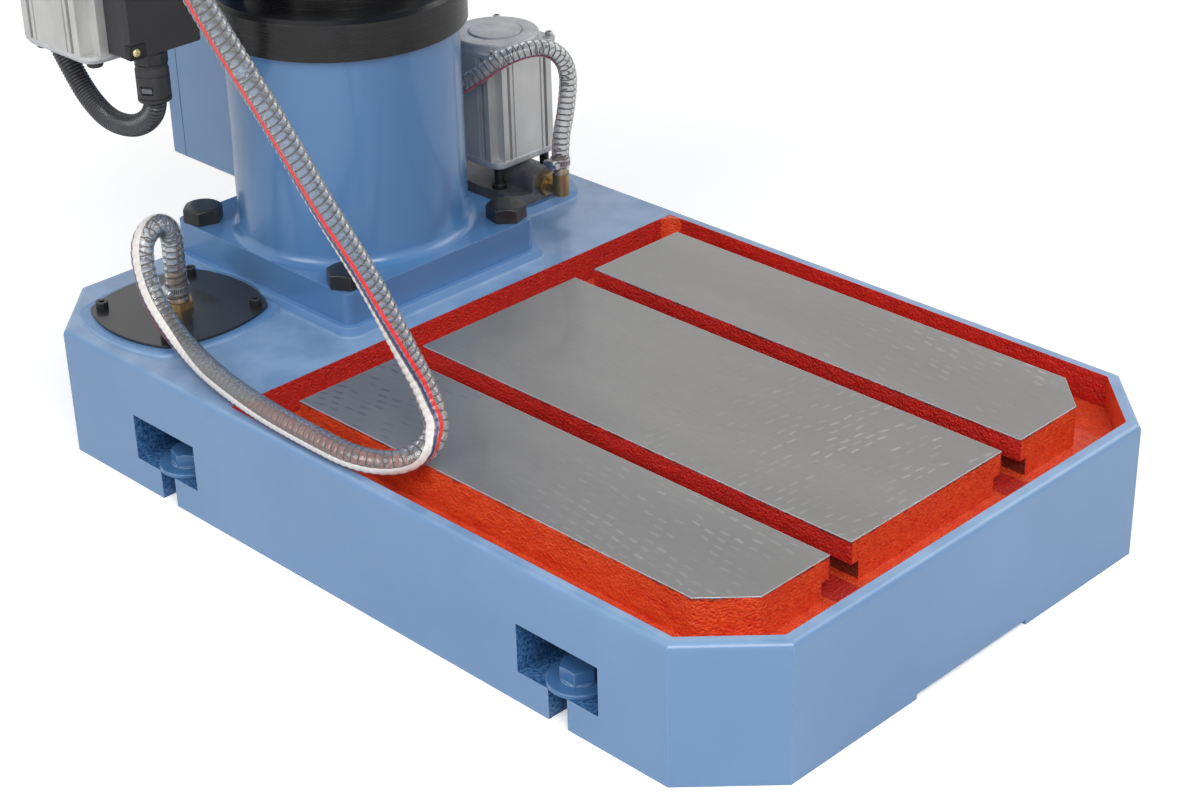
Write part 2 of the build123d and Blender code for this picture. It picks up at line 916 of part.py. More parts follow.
# Coolant pump: flange with outlet and riser, motor, cap, stand-off screws, elbow and impeller
pump_flange_top = pad_top + pump_flange_thick
pump_motor_bottom = pump_flange_top + pump_stud_gap
pump_motor_top = pump_motor_bottom + pump_motor_height
outlet_x = pump_x - outlet_offset
outlet_y = pump_y - pump_flange_front
outlet_z = pump_flange_top + outlet_rise
outlet_bore_length = pump_flange_front * outlet_bore_share
elbow_y = outlet_y - elbow_reach
elbow_top = outlet_z + elbow_shoulder
stud_places = [
    (pump_x + side * pump_stud_span / 2, pump_y + end * pump_stud_span / 2)
    for side in (-1, 1)
    for end in (-1, 1)
]

with BuildPart() as pump_body:
    with BuildSketch(Plane((pump_x, pump_y, pad_top))):
        with Locations((0, (pump_flange_rear - pump_flange_front) / 2)):
            RectangleRounded(
                pump_flange_width, pump_flange_front + pump_flange_rear, pump_flange_round
            )
    extrude(amount=pump_flange_thick)
    with BuildSketch(Plane(origin=(outlet_x, outlet_y, outlet_z), x_dir=(1, 0, 0), z_dir=(0, -1, 0))):
        Circle(outlet_r)
        with Locations((0, -outlet_rise / 2)):
            Rectangle(2 * outlet_r, outlet_rise)
        with Locations((0, -outlet_rise - outlet_r)):
            Rectangle(4 * outlet_r, 2 * outlet_r, mode=Mode.SUBTRACT)
    extrude(amount=-pump_flange_front * 0.8)
    with Locations((pump_x, pump_y, pad_top)):
        Cylinder(pump_riser_r, pump_riser_length, align=TOP)
    with Locations((pump_x, pump_y, pad_top)):
        Cylinder(
            pump_riser_r - pump_riser_wall, pump_riser_length, align=TOP, mode=Mode.SUBTRACT
        )
        Cylinder(
            impeller_shaft_r + slide_gap,
            pump_flange_thick + pump_stud_gap,
            align=BOTTOM,
            mode=Mode.SUBTRACT,
        )
    with Locations((outlet_x, outlet_y, outlet_z)):
        Cylinder(
            outlet_bore_r, outlet_bore_length, rotation=(90, 0, 0), align=TOP, mode=Mode.SUBTRACT
        )
    with Locations((outlet_x, outlet_y + outlet_bore_length - 0.8 * outlet_port_r, outlet_z)):
        Cylinder(
            outlet_port_r, outlet_z - pad_top + pump_riser_wall, align=TOP, mode=Mode.SUBTRACT
        )
    with Locations(*[(x, y, pump_flange_top) for x, y in stud_places]):
        Cylinder(pump_stud_r, pump_flange_thick, align=TOP, mode=Mode.SUBTRACT)
pump_body.part.label = "pump_body"
export_step(pump_body.part, "parts/pump_body.step")

with BuildPart() as pump_studs:
    with Locations(*[(x, y, pad_top) for x, y in stud_places]):
        Cylinder(pump_stud_r, pump_flange_thick + pump_stud_gap, align=BOTTOM)
    with Locations(*[(x, y, pump_flange_top) for x, y in stud_places]):
        Cylinder(1.6 * pump_stud_r, pump_stud_r, align=BOTTOM)
pump_studs.part.label = "pump_studs"
export_step(pump_studs.part, "parts/pump_studs.step")

with BuildPart() as pump_motor:
    extrude(
        motor_section(Plane((pump_x, pump_y, pump_motor_bottom)), pump_motor_width, pump_motor_corner),
        amount=pump_motor_height,
    )
pump_motor.part.label = "pump_motor"
export_step(pump_motor.part, "parts/pump_motor.step")

with BuildPart() as pump_cap:
    with BuildSketch(Plane((pump_x, pump_y, pump_motor_top))) as cap_plate:
        cap_square = Rectangle(pump_motor_width, pump_motor_width)
        chamfer(cap_square.vertices(), pump_motor_corner)
    extrude(amount=pump_cap_plate)
    with Locations((pump_x, pump_y, pump_motor_top)):
        Cylinder(pump_motor_width / 2, pump_cap_height, align=BOTTOM)
    chamfer(pump_cap.faces().sort_by(Axis.Z)[-1].edges(), pump_cap_disc)
    with Locations((pump_x, pump_y, pump_motor_top + pump_cap_height)):
        Cylinder(pump_cap_disc_r, pump_cap_disc, align=BOTTOM)
pump_cap.part.label = "pump_cap"
export_step(pump_cap.part, "parts/pump_cap.step")

with BuildPart() as pump_elbow:
    with Locations((outlet_x, outlet_y + elbow_nut, outlet_z)):
        Cylinder(elbow_leg_r, elbow_reach + elbow_nut, rotation=(90, 0, 0), align=BOTTOM)
    with BuildSketch(Plane(origin=(outlet_x, outlet_y, outlet_z), x_dir=(1, 0, 0), z_dir=(0, -1, 0))):
        RegularPolygon(elbow_nut_r, 6)
    extrude(amount=elbow_nut)
    with Locations((outlet_x, elbow_y, outlet_z - elbow_drop)):
        Cylinder(elbow_r, elbow_drop + elbow_shoulder, align=BOTTOM)
    with Locations((outlet_x, elbow_y, elbow_top)):
        Cylinder(delivery_bore_r - running_fit, elbow_barb, align=BOTTOM)
pump_elbow.part.label = "pump_elbow"
export_step(pump_elbow.part, "parts/pump_elbow.step")

impeller_z = pad_top - pump_riser_length + impeller_height
with BuildPart() as pump_impeller:
    with Locations((pump_x, pump_y, impeller_z)):
        Cylinder(impeller_r, impeller_vane_thick, align=BOTTOM)
        Cylinder(impeller_shaft_r, pump_motor_bottom - slide_gap - impeller_z, align=BOTTOM)
        with PolarLocations(impeller_r / 2, impeller_vanes):
            Box(
                impeller_r - impeller_vane_thick,
                impeller_vane_thick,
                impeller_height,
                align=BOTTOM,
            )
pump_impeller.part.label = "pump_impeller"
export_step(pump_impeller.part, "parts/pump_impeller.step")

# Electric cabinet behind the column, its door on the rear, and the switchgear inside
cabinet_rear = cabinet_front + cabinet_depth
cabinet_top = cabinet_bottom + cabinet_height
cabinet_right = cabinet_left + cabinet_width
hinge_x = cabinet_right + hinge_offset
hinge_y = cabinet_rear + door_gap + hinge_barrel_r
door_front = cabinet_rear + door_gap
door_rear = door_front + door_thick
hinge_levels = (cabinet_bottom + hinge_inset, cabinet_top - hinge_inset - hinge_barrel_length)

with BuildPart() as cabinet_box:
    with BuildSketch(Plane(origin=(0, cabinet_front, 0), x_dir=(1, 0, 0), z_dir=(0, -1, 0))):
        with Locations((cabinet_middle, (cabinet_bottom + cabinet_top) / 2)):
            RectangleRounded(cabinet_width, cabinet_height, cabinet_round)
    extrude(amount=-cabinet_depth)
    with BuildSketch(Plane(origin=(0, cabinet_rear, 0), x_dir=(1, 0, 0), z_dir=(0, -1, 0))):
        with Locations((cabinet_middle, (cabinet_bottom + cabinet_top) / 2)):
            Rectangle(cabinet_width - 2 * cabinet_wall, cabinet_height - 2 * cabinet_wall)
    extrude(amount=cabinet_depth - cabinet_wall, mode=Mode.SUBTRACT)
    for level in hinge_levels:
        with Locations((cabinet_right, cabinet_rear, level - hinge_barrel_r)):
            Box(
                hinge_offset + hinge_pin_r,
                2 * hinge_barrel_r,
                hinge_barrel_r - slide_gap,
                align=(Align.MIN, Align.CENTER, Align.MIN),
            )
        with Locations((hinge_x, hinge_y, level - hinge_barrel_r)):
            Cylinder(hinge_barrel_r, hinge_barrel_r - slide_gap, align=BOTTOM)
            Cylinder(hinge_pin_r, hinge_barrel_r + hinge_barrel_length * 0.9, align=BOTTOM)
cabinet_box.part.label = "cabinet_box"
export_step(cabinet_box.part, "parts/cabinet_box.step")

with BuildPart() as cabinet_door:
    with BuildSketch(Plane(origin=(0, door_rear, 0), x_dir=(1, 0, 0), z_dir=(0, -1, 0))):
        with Locations((cabinet_middle, (cabinet_bottom + cabinet_top) / 2)):
            RectangleRounded(cabinet_width, cabinet_height, cabinet_round)
    extrude(amount=door_thick)
    with BuildSketch(Plane(origin=(0, door_front, 0), x_dir=(1, 0, 0), z_dir=(0, -1, 0))):
        with Locations((cabinet_middle, (cabinet_bottom + cabinet_top) / 2)):
            Rectangle(cabinet_width - 2 * cabinet_lip, cabinet_height - 2 * cabinet_lip)
    extrude(amount=-(door_thick - door_skin), mode=Mode.SUBTRACT)
    for level in hinge_levels:
        with Locations((cabinet_right, hinge_y, level)):
            Box(
                hinge_offset,
                hinge_barrel_r,
                hinge_barrel_length,
                align=(Align.MIN, Align.MIN, Align.MIN),
            )
        with Locations((hinge_x, hinge_y, level)):
            Cylinder(hinge_barrel_r, hinge_barrel_length, align=BOTTOM)
            Cylinder(
                hinge_pin_r + running_fit, hinge_barrel_length, align=BOTTOM, mode=Mode.SUBTRACT
            )
    switch_z = cabinet_bottom + switch_rise
    with Locations((cabinet_middle, door_rear, switch_z)):
        Box(
            switch_plate,
            switch_plate_thick,
            switch_plate,
            align=(Align.CENTER, Align.MIN, Align.CENTER),
        )
        Cylinder(
            hinge_pin_r + running_fit,
            4 * switch_plate_thick,
            rotation=(90, 0, 0),
            mode=Mode.SUBTRACT,
        )
cabinet_door.part.label = "cabinet_door"
export_step(cabinet_door.part, "parts/cabinet_door.step")

switch_face = door_rear + switch_plate_thick
with BuildPart() as main_switch:
    with Locations((cabinet_middle, switch_face + slide_gap, switch_z)):
        Cylinder(switch_knob_r, switch_knob_height / 2, rotation=(-90, 0, 0), align=BOTTOM)
        Box(
            switch_grip,
            switch_knob_height,
            1.8 * switch_knob_r,
            align=(Align.CENTER, Align.MIN, Align.CENTER),
        )
    with Locations((cabinet_middle, switch_face + slide_gap, switch_z)):
        Cylinder(hinge_pin_r, 2 * switch_plate_thick, rotation=(90, 0, 0), align=BOTTOM)
main_switch.part.label = "main_switch"
export_step(main_switch.part, "parts/main_switch.step")

wall_inside = cabinet_front + cabinet_wall
rail_face = wall_inside + rail_thick
rail_z = cabinet_bottom + cabinet_height * rail_share
terminal_rail_z = cabinet_bottom + cabinet_height * terminal_rail_share
with BuildPart() as switchgear:
    for level in (rail_z, terminal_rail_z):
        with Locations((cabinet_middle, wall_inside, level)):
            Box(
                cabinet_width - 2 * cabinet_lip,
                rail_thick,
                rail_width,
                align=(Align.CENTER, Align.MIN, Align.CENTER),
            )
    with Locations((cabinet_middle, rail_face + contactor_depth / 2, rail_z)):
        with GridLocations(contactor_pitch, 1, contactor_count, 1):
            Box(contactor_width, contactor_depth, contactor_height)
            Box(contactor_width * 0.6, contactor_depth * 1.16, contactor_height * 0.5)
    with Locations((cabinet_middle, rail_face, terminal_rail_z)):
        Box(
            terminal_width,
            terminal_depth,
            terminal_height,
            align=(Align.CENTER, Align.MIN, Align.CENTER),
        )
switchgear.part.label = "switchgear"
export_step(switchgear.part, "parts/switchgear.step")

# Table bracket: split sleeve on the column, arm with the lower slideway, pad for the lift gear
sleeve_front = column_y - sleeve_r
way_middle = spindle_y
arm_front = way_middle - way_length / 2
arm_reach = sleeve_front - arm_front
arm_low_z = sleeve_bottom + arm_low
arm_slope = (arm_top - arm_nose - arm_low_z) / arm_reach
pocket_start = arm_front + arm_pocket_front
pocket_end = sleeve_front - arm_rib
pocket_top = arm_top - arm_flange
pocket_start_z = arm_top - arm_nose - arm_slope * arm_pocket_front + arm_rib
pocket_end_z = arm_low_z + arm_slope * arm_rib + arm_rib
y_screw_z = arm_top - y_screw_drop
clamp_x = sleeve_r + ear_reach / 2
clamp_z = sleeve_bottom + sleeve_height / 2
pinion_tip_r = pinion_teeth * rack_module / 2 + 0.9 * rack_module
pad_left = -gear_pad_reach
pad_right = -sleeve_r / 2
pad_front_y = column_y - gear_pad_front
pad_rear_y = column_y + gear_pad_rear
rear_of_groove = way_middle + way_length / 2 - screw_wall
y_bearing_front = arm_front - y_bearing_length

with BuildPart() as table_bracket:
    with Locations((0, column_y, sleeve_bottom)):
        Cylinder(sleeve_r, sleeve_height, align=BOTTOM)
    with BuildSketch(Plane.YZ):
        with BuildLine():
            Polyline(
                (column_y, arm_top),
                (arm_front, arm_top),
                (arm_front, arm_top - arm_nose),
                (sleeve_front, arm_low_z),
                (column_y, arm_low_z),
                close=True,
            )
        make_face()
    extrude(amount=arm_width / 2, both=True)
    for side in (-1, 1):
        with BuildSketch(Plane.YZ.offset(side * arm_width / 2)):
            with BuildLine():
                Polyline(
                    (pocket_start, pocket_top),
                    (pocket_start, pocket_start_z),
                    (pocket_end, pocket_end_z),
                    (pocket_end, pocket_top),
                    close=True,
                )
            make_face()
        extrude(amount=-side * arm_pocket_depth, mode=Mode.SUBTRACT)
    way_plane = Plane(origin=(0, way_middle, arm_top), x_dir=(1, 0, 0), z_dir=(0, -1, 0))
    extrude(dovetail(way_plane, way_width, way_slope, way_height), amount=way_length / 2, both=True)
    with Locations((sleeve_r - ear_reach / 2, column_y, sleeve_bottom)):
        Box(
            1.5 * ear_reach,
            ear_width,
            sleeve_height,
            align=(Align.MIN, Align.CENTER, Align.MIN),
        )
    with Locations(((pad_left + pad_right) / 2, (pad_front_y + pad_rear_y) / 2, pinion_z)):
        Box(pad_right - pad_left, pad_rear_y - pad_front_y, 2 * gear_pad_half_height)
    with Locations((0, (arm_front + screw_wall + rear_of_groove) / 2, arm_top + way_height)):
        Box(
            screw_groove,
            rear_of_groove - arm_front - screw_wall,
            screw_groove_depth + way_height,
            align=TOP,
            mode=Mode.SUBTRACT,
        )
    with Locations((0, y_bearing_front, y_screw_z)):
        Cylinder(y_bearing_r, 2 * y_bearing_length, rotation=(-90, 0, 0), align=BOTTOM)
        Cylinder(
            screw_r + running_fit,
            y_bearing_length + way_length + screw_wall,
            rotation=(-90, 0, 0),
            align=BOTTOM,
            mode=Mode.SUBTRACT,
        )
    with Locations((0, column_y, sleeve_bottom)):
        Cylinder(column_r + running_fit, sleeve_height, align=BOTTOM, mode=Mode.SUBTRACT)
        Box(
            column_r + 2 * ear_reach + sleeve_r,
            ear_slit,
            sleeve_height,
            align=(Align.MIN, Align.CENTER, Align.MIN),
            mode=Mode.SUBTRACT,
        )
    with Locations((rack_tip_x - gear_clearance, column_y, sleeve_bottom)):
        Box(
            rack_stand + column_r / 2,
            rack_width + gear_clearance,
            sleeve_height,
            align=(Align.MIN, Align.CENTER, Align.MIN),
            mode=Mode.SUBTRACT,
        )
    with Locations((pinion_x, column_y, pinion_z)):
        Cylinder(
            pinion_tip_r + gear_clearance,
            pinion_width + 2 * gear_side_gap,
            rotation=(90, 0, 0),
            mode=Mode.SUBTRACT,
        )
        Cylinder(
            pinion_shaft_r + running_fit,
            2 * gear_pad_rear + gear_clearance,
            rotation=(90, 0, 0),
            mode=Mode.SUBTRACT,
        )
    with Locations((clamp_x, column_y, clamp_z)):
        Cylinder(clamp_rod_r + running_fit, 2 * ear_width, rotation=(90, 0, 0), mode=Mode.SUBTRACT)
table_bracket.part.label = "table_bracket"
export_step(table_bracket.part, "parts/table_bracket.step")

clamp_face = column_y - ear_width / 2 - slide_gap
with BuildPart() as clamp_lever:
    with Locations((clamp_x, clamp_face, clamp_z)):
        Cylinder(clamp_hub_r, clamp_hub_length, rotation=(90, 0, 0), align=BOTTOM)
        Cylinder(clamp_rod_r, ear_width, rotation=(-90, 0, 0), align=BOTTOM)
    with Locations((clamp_x, clamp_face - clamp_hub_length / 2, clamp_z)):
        Cylinder(clamp_arm_r, clamp_arm_length, rotation=(0, clamp_tilt, 0), align=BOTTOM)
    ball_out = clamp_arm_length * sin(radians(clamp_tilt))
    ball_up = clamp_arm_length * cos(radians(clamp_tilt))
    with Locations((clamp_x + ball_out, clamp_face - clamp_hub_length / 2, clamp_z + ball_up)):
        Sphere(clamp_ball_r)
clamp_lever.part.label = "clamp_lever"
export_step(clamp_lever.part, "parts/clamp_lever.step")

# Lift drive: pinion in the rack, gear housing, motor with terminal box, glands and conduit
gearbox_left = lift_motor_x - lift_motor_width / 2 - lift_plate_margin
gearbox_right = gearbox_left + gearbox_length
gearbox_bottom = pinion_z - gearbox_below
gearbox_top = pinion_z + gearbox_above
lift_motor_y = column_y + lift_motor_back
plate_bottom = gearbox_bottom - lift_plate_thick
lift_motor_top = plate_bottom - lift_shield
lift_motor_bottom = lift_motor_top - lift_motor_height

with BuildPart() as lift_pinion:
    pinion_plane = Plane(origin=(pinion_x, column_y, pinion_z), x_dir=(1, 0, 0), z_dir=(0, -1, 0))
    extrude(
        gear_outline(pinion_plane, pinion_teeth, rack_module), amount=pinion_width / 2, both=True
    )
    with Locations((pinion_x, column_y - gear_pad_front * 0.8, pinion_z)):
        Cylinder(
            pinion_shaft_r,
            gear_pad_front * 0.8 + gear_pad_rear + gearbox_depth / 2,
            rotation=(-90, 0, 0),
            align=BOTTOM,
        )
lift_pinion.part.label = "lift_pinion"
export_step(lift_pinion.part, "parts/lift_pinion.step")

with BuildPart() as lift_gearbox:
    with BuildSketch(Plane((0, 0, gearbox_bottom))):
        with Locations(((gearbox_left + gearbox_right) / 2, pad_rear_y + gearbox_depth / 2)):
            Rectangle(gearbox_length, gearbox_depth)
    extrude(amount=gearbox_top - gearbox_bottom)
    fillet(lift_gearbox.faces().sort_by(Axis.Z)[-1].edges(), gearbox_round)
    with BuildSketch(Plane((lift_motor_x, lift_motor_y, plate_bottom))):
        with Locations((0, (lift_plate_rear - lift_plate_front) / 2)):
            RectangleRounded(
                lift_motor_width + 2 * lift_plate_margin,
                lift_plate_front + lift_plate_rear,
                gearbox_round,
            )
    extrude(amount=lift_plate_thick)
    with Locations((pinion_x, pad_rear_y, pinion_z)):
        Cylinder(
            pinion_shaft_r + running_fit,
            gearbox_depth / 2 + gear_clearance,
            rotation=(-90, 0, 0),
            align=BOTTOM,
            mode=Mode.SUBTRACT,
        )
    with Locations((pinion_x, pad_rear_y + gearbox_depth, pinion_z)):
        Cylinder(2.4 * pinion_shaft_r, gearbox_round / 2, rotation=(-90, 0, 0), align=BOTTOM)
lift_gearbox.part.label = "lift_gearbox"
export_step(lift_gearbox.part, "parts/lift_gearbox.step")

with BuildPart() as lift_motor:
    extrude(
        motor_section(
            Plane((lift_motor_x, lift_motor_y, lift_motor_bottom)), lift_motor_width, lift_motor_corner
        ),
        amount=lift_motor_height,
    )
    with BuildSketch(Plane((lift_motor_x, lift_motor_y, lift_motor_top))) as shield:
        shield_square = Rectangle(lift_motor_width, lift_motor_width)
        chamfer(shield_square.vertices(), lift_motor_corner * 0.8)
    extrude(amount=lift_shield)
lift_motor.part.label = "lift_motor"
export_step(lift_motor.part, "parts/lift_motor.step")

with BuildPart() as lift_motor_cap:
    with BuildSketch(Plane((lift_motor_x, lift_motor_y, lift_motor_bottom))) as cap_outline:
        lower_square = Rectangle(lift_motor_width, lift_motor_width)
        chamfer(lower_square.vertices(), lift_motor_corner * 0.8)
    extrude(amount=-lift_cap_thick, taper=lift_cap_taper)
    with BuildSketch(Plane((lift_motor_x, lift_motor_y, lift_motor_bottom))):
        with GridLocations(
            lift_motor_width - 2 * lift_motor_corner, lift_motor_width - 2 * lift_motor_corner, 2, 2
        ):
            Circle(lift_motor_corner * 0.45)
    extrude(amount=-lift_cap_thick * 1.15)
lift_motor_cap.part.label = "lift_motor_cap"
export_step(lift_motor_cap.part, "parts/lift_motor_cap.step")

box_back = lift_motor_y - lift_motor_width / 2
box_x = lift_motor_x + terminal_box_offset
box_bottom = lift_motor_bottom
box_front = box_back - terminal_box_depth
with BuildPart() as terminal_box:
    with BuildSketch(
        Plane(origin=(box_x, box_back, box_bottom), x_dir=(1, 0, 0), z_dir=(0, -1, 0))
    ):
        with Locations((0, terminal_box_height / 2)):
            RectangleRounded(terminal_box_width, terminal_box_height, terminal_box_wall)
    extrude(amount=terminal_box_depth)
    with BuildSketch(
        Plane(origin=(box_x, box_front, box_bottom), x_dir=(1, 0, 0), z_dir=(0, -1, 0))
    ):
        with Locations((0, terminal_box_height / 2)):
            Rectangle(
                terminal_box_width - 2 * terminal_box_wall, terminal_box_height - 2 * terminal_box_wall
            )
    extrude(amount=-(terminal_box_depth - terminal_box_wall), mode=Mode.SUBTRACT)
terminal_box.part.label = "terminal_box"
export_step(terminal_box.part, "parts/terminal_box.step")

with BuildPart() as terminal_lid:
    with BuildSketch(
        Plane(origin=(box_x, box_front, box_bottom), x_dir=(1, 0, 0), z_dir=(0, -1, 0))
    ):
        with Locations((0, terminal_box_height / 2)):
            RectangleRounded(terminal_box_width, terminal_box_height, terminal_box_wall)
    extrude(amount=terminal_lid_thick, taper=terminal_lid_taper)
terminal_lid.part.label = "terminal_lid"
export_step(terminal_lid.part, "parts/terminal_lid.step")

conduit_x = lift_motor_x - gland_offset
conduit_start_y = box_back - gland_inset
conduit_end_y = lift_motor_y + lift_motor_width / 2 + conduit_setback
gland_end = gland_nut + gland_length
with BuildPart() as conduit_glands:
    for gland_y, gland_top in ((conduit_start_y, box_bottom), (conduit_end_y, plate_bottom)):
        with BuildSketch(Plane((conduit_x, gland_y, gland_top))):
            RegularPolygon(gland_nut_r, 8)
        extrude(amount=-gland_nut)
        with Locations((conduit_x, gland_y, gland_top - gland_nut)):
            Cylinder(gland_r, gland_length, align=TOP)
        with Locations((conduit_x, gland_y, gland_top - gland_end)):
            Cylinder(conduit_bore_r, gland_end, align=BOTTOM, mode=Mode.SUBTRACT)
conduit_glands.part.label = "conduit_glands"
export_step(conduit_glands.part, "parts/conduit_glands.step")

conduit_start_z = box_bottom - gland_end
conduit_end_z = plate_bottom - gland_end
# Steps along Y and Z from the front gland, then from the rear one
conduit_points = [
    (conduit_x, conduit_start_y + back, conduit_start_z - fall)
    for back, fall in ((0, 0), (0, 20), (17, 39), (57, 43), (102, 33))
] + [
    (conduit_x, conduit_end_y - ahead, conduit_end_z - fall)
    for ahead, fall in ((30, 156), (3, 114), (0, 57), (0, 0))
]
conduit_radii = bend_radii(conduit_points)
print("lift_conduit radii", [round(radius) for radius in conduit_radii])
with BuildPart() as lift_conduit:
    with BuildLine() as conduit_route:
        FilletPolyline(*conduit_points, radius=conduit_radii)
    conduit_wire = conduit_route.wire()
    plain_end = 2 * conduit_r
    rib_pitch = (conduit_wire.length - 2 * plain_end) / conduit_ribs
    stations = [(0.0, conduit_root_r)]
    for rib in range(conduit_ribs):
        rib_start = plain_end + rib * rib_pitch
        for share, radius in (
            (0.10, conduit_root_r),
            (0.30, conduit_r),
            (0.70, conduit_r),
            (0.90, conduit_root_r),
        ):
            stations.append((rib_start + share * rib_pitch, radius))
    stations.append((conduit_wire.length, conduit_root_r))
    for distance, radius in stations:
        spot = conduit_wire.position_at(distance, PositionMode.LENGTH)
        heading = conduit_wire.tangent_at(distance, PositionMode.LENGTH)
        with BuildSketch(Plane(origin=spot, x_dir=(1, 0, 0), z_dir=heading)):
            Circle(radius)
    loft(ruled=True)
    with BuildSketch(Plane(origin=conduit_wire @ 0, x_dir=(1, 0, 0), z_dir=conduit_wire % 0)) as bore:
        Circle(conduit_bore_r)
    sweep(bore.sketch, path=conduit_wire, mode=Mode.SUBTRACT)
print("lift_conduit length", round(conduit_wire.length, 1))
lift_conduit.part.label = "lift_conduit"
export_step(lift_conduit.part, "parts/lift_conduit.step")

# Cross table: saddle on the bracket, table on the saddle, with screws, nuts and handwheels
saddle_bottom = arm_top + slide_gap
saddle_top = saddle_bottom + saddle_height
table_bottom = saddle_top + slide_gap
table_top = table_bottom + table_height
x_screw_z = saddle_bottom + x_screw_rise
drain_y = spindle_y + drain_offset
drain_z = table_top - gutter_depth + drain_rise

with BuildPart() as saddle:
    with Locations((0, spindle_y, saddle_bottom)):
        Box(saddle_width, saddle_length, saddle_height, align=BOTTOM)
    saddle_way = Plane(origin=(0, spindle_y, saddle_bottom), x_dir=(1, 0, 0), z_dir=(0, -1, 0))
    extrude(
        dovetail(saddle_way, way_width, way_slope, way_height, slide_gap),
        amount=saddle_length / 2,
        both=True,
        mode=Mode.SUBTRACT,
    )
    table_way = Plane(origin=(0, spindle_y, saddle_top), x_dir=(0, 1, 0), z_dir=(1, 0, 0))
    extrude(dovetail(table_way, way_width, way_slope, way_height), amount=saddle_width / 2, both=True)
    with Locations((0, spindle_y, x_screw_z)):
        Cylinder(nut_r, saddle_width, rotation=(0, 90, 0), mode=Mode.SUBTRACT)
saddle.part.label = "saddle"
export_step(saddle.part, "parts/saddle.step")

with BuildPart() as feed_nuts:
    with Locations((0, spindle_y, saddle_bottom + way_height)):
        Box(nut_width, nut_length, way_height + y_screw_drop + nut_drop, align=TOP)
    with Locations((0, spindle_y, y_screw_z)):
        Cylinder(screw_r + running_fit, 2 * nut_length, rotation=(90, 0, 0), mode=Mode.SUBTRACT)
    with Locations((0, spindle_y, x_screw_z)):
        Cylinder(nut_r, nut_length, rotation=(0, 90, 0))
        Cylinder(screw_r + running_fit, nut_length, rotation=(0, 90, 0), mode=Mode.SUBTRACT)
feed_nuts.part.label = "feed_nuts"
export_step(feed_nuts.part, "parts/feed_nuts.step")

lug_outer = table_length / 2 + end_lug_thick
lug_bottom = table_bottom - end_lug_drop
with BuildPart() as cross_table:
    with Locations((0, spindle_y, table_bottom)):
        Box(table_length, table_width, table_height, align=BOTTOM)
    table_slide = Plane(origin=(0, spindle_y, table_bottom), x_dir=(0, 1, 0), z_dir=(1, 0, 0))
    extrude(
        dovetail(table_slide, way_width, way_slope, way_height, slide_gap),
        amount=table_length / 2,
        both=True,
        mode=Mode.SUBTRACT,
    )
    with BuildSketch(Plane((0, spindle_y, table_top))):
        Rectangle(table_length - 2 * gutter_rim, table_width - 2 * gutter_rim)
        inner_length = table_length - 2 * gutter_rim - 2 * gutter_width
        inner_width = table_width - 2 * gutter_rim - 2 * gutter_width
        Rectangle(inner_length, inner_width, mode=Mode.SUBTRACT)
    extrude(amount=-gutter_depth, mode=Mode.SUBTRACT)
    with Locations((0, spindle_y, table_top)):
        with GridLocations(1, table_slot_pitch, 1, table_slot_count):
            Box(inner_length, table_slot_width, table_slot_depth, align=TOP, mode=Mode.SUBTRACT)
    with Locations((0, spindle_y, table_top - table_slot_depth)):
        with GridLocations(1, table_slot_pitch, 1, table_slot_count):
            Box(
                inner_length,
                table_slot_foot_width,
                table_slot_foot_height,
                align=BOTTOM,
                mode=Mode.SUBTRACT,
            )
    for side in (-1, 1):
        with Locations((side * (table_length + end_lug_thick) / 2, spindle_y, lug_bottom)):
            Box(end_lug_thick, end_lug_width, end_lug_drop + table_height * 0.8, align=BOTTOM)
    with Locations((0, spindle_y, x_screw_z)):
        Cylinder(
            screw_r + running_fit, 3 * table_length, rotation=(0, 90, 0), mode=Mode.SUBTRACT
        )
    with Locations((-table_length / 2, drain_y, drain_z)):
        Cylinder(
            drain_bore_r,
            gutter_rim + gutter_width / 2,
            rotation=(0, 90, 0),
            align=BOTTOM,
            mode=Mode.SUBTRACT,
        )
cross_table.part.label = "cross_table"
export_step(cross_table.part, "parts/cross_table.step")

x_wheel_plane = Plane(
    origin=(lug_outer + slide_gap, spindle_y, x_screw_z), x_dir=(0, 0, 1), z_dir=(1, 0, 0)
)
with BuildPart() as x_handwheel:
    add(handwheel(x_wheel_plane))
    with Locations((-lug_outer, spindle_y, x_screw_z)):
        Cylinder(screw_r, 2 * lug_outer + dial_length, rotation=(0, 90, 0), align=BOTTOM)
x_handwheel.part.label = "x_handwheel"
export_step(x_handwheel.part, "parts/x_handwheel.step")

with BuildPart(x_wheel_plane) as x_grip:
    with Locations((wheel_r, 0, wheel_rim_offset + wheel_rim_r)):
        add(wheel_grip())
x_grip.part.label = "x_grip"
export_step(x_grip.part, "parts/x_grip.step")

y_wheel_plane = Plane(
    origin=(0, y_bearing_front - slide_gap, y_screw_z), x_dir=(0, 0, 1), z_dir=(0, -1, 0)
)
with BuildPart() as y_handwheel:
    add(handwheel(y_wheel_plane))
    with Locations((0, y_bearing_front - dial_length, y_screw_z)):
        Cylinder(
            screw_r,
            rear_of_groove + screw_wall / 2 - y_bearing_front + dial_length,
            rotation=(-90, 0, 0),
            align=BOTTOM,
        )
y_handwheel.part.label = "y_handwheel"
export_step(y_handwheel.part, "parts/y_handwheel.step")

with BuildPart(y_wheel_plane) as y_grip:
    with Locations((wheel_r, 0, wheel_rim_offset + wheel_rim_r)):
        add(wheel_grip())
y_grip.part.label = "y_grip"
export_step(y_grip.part, "parts/y_grip.step")

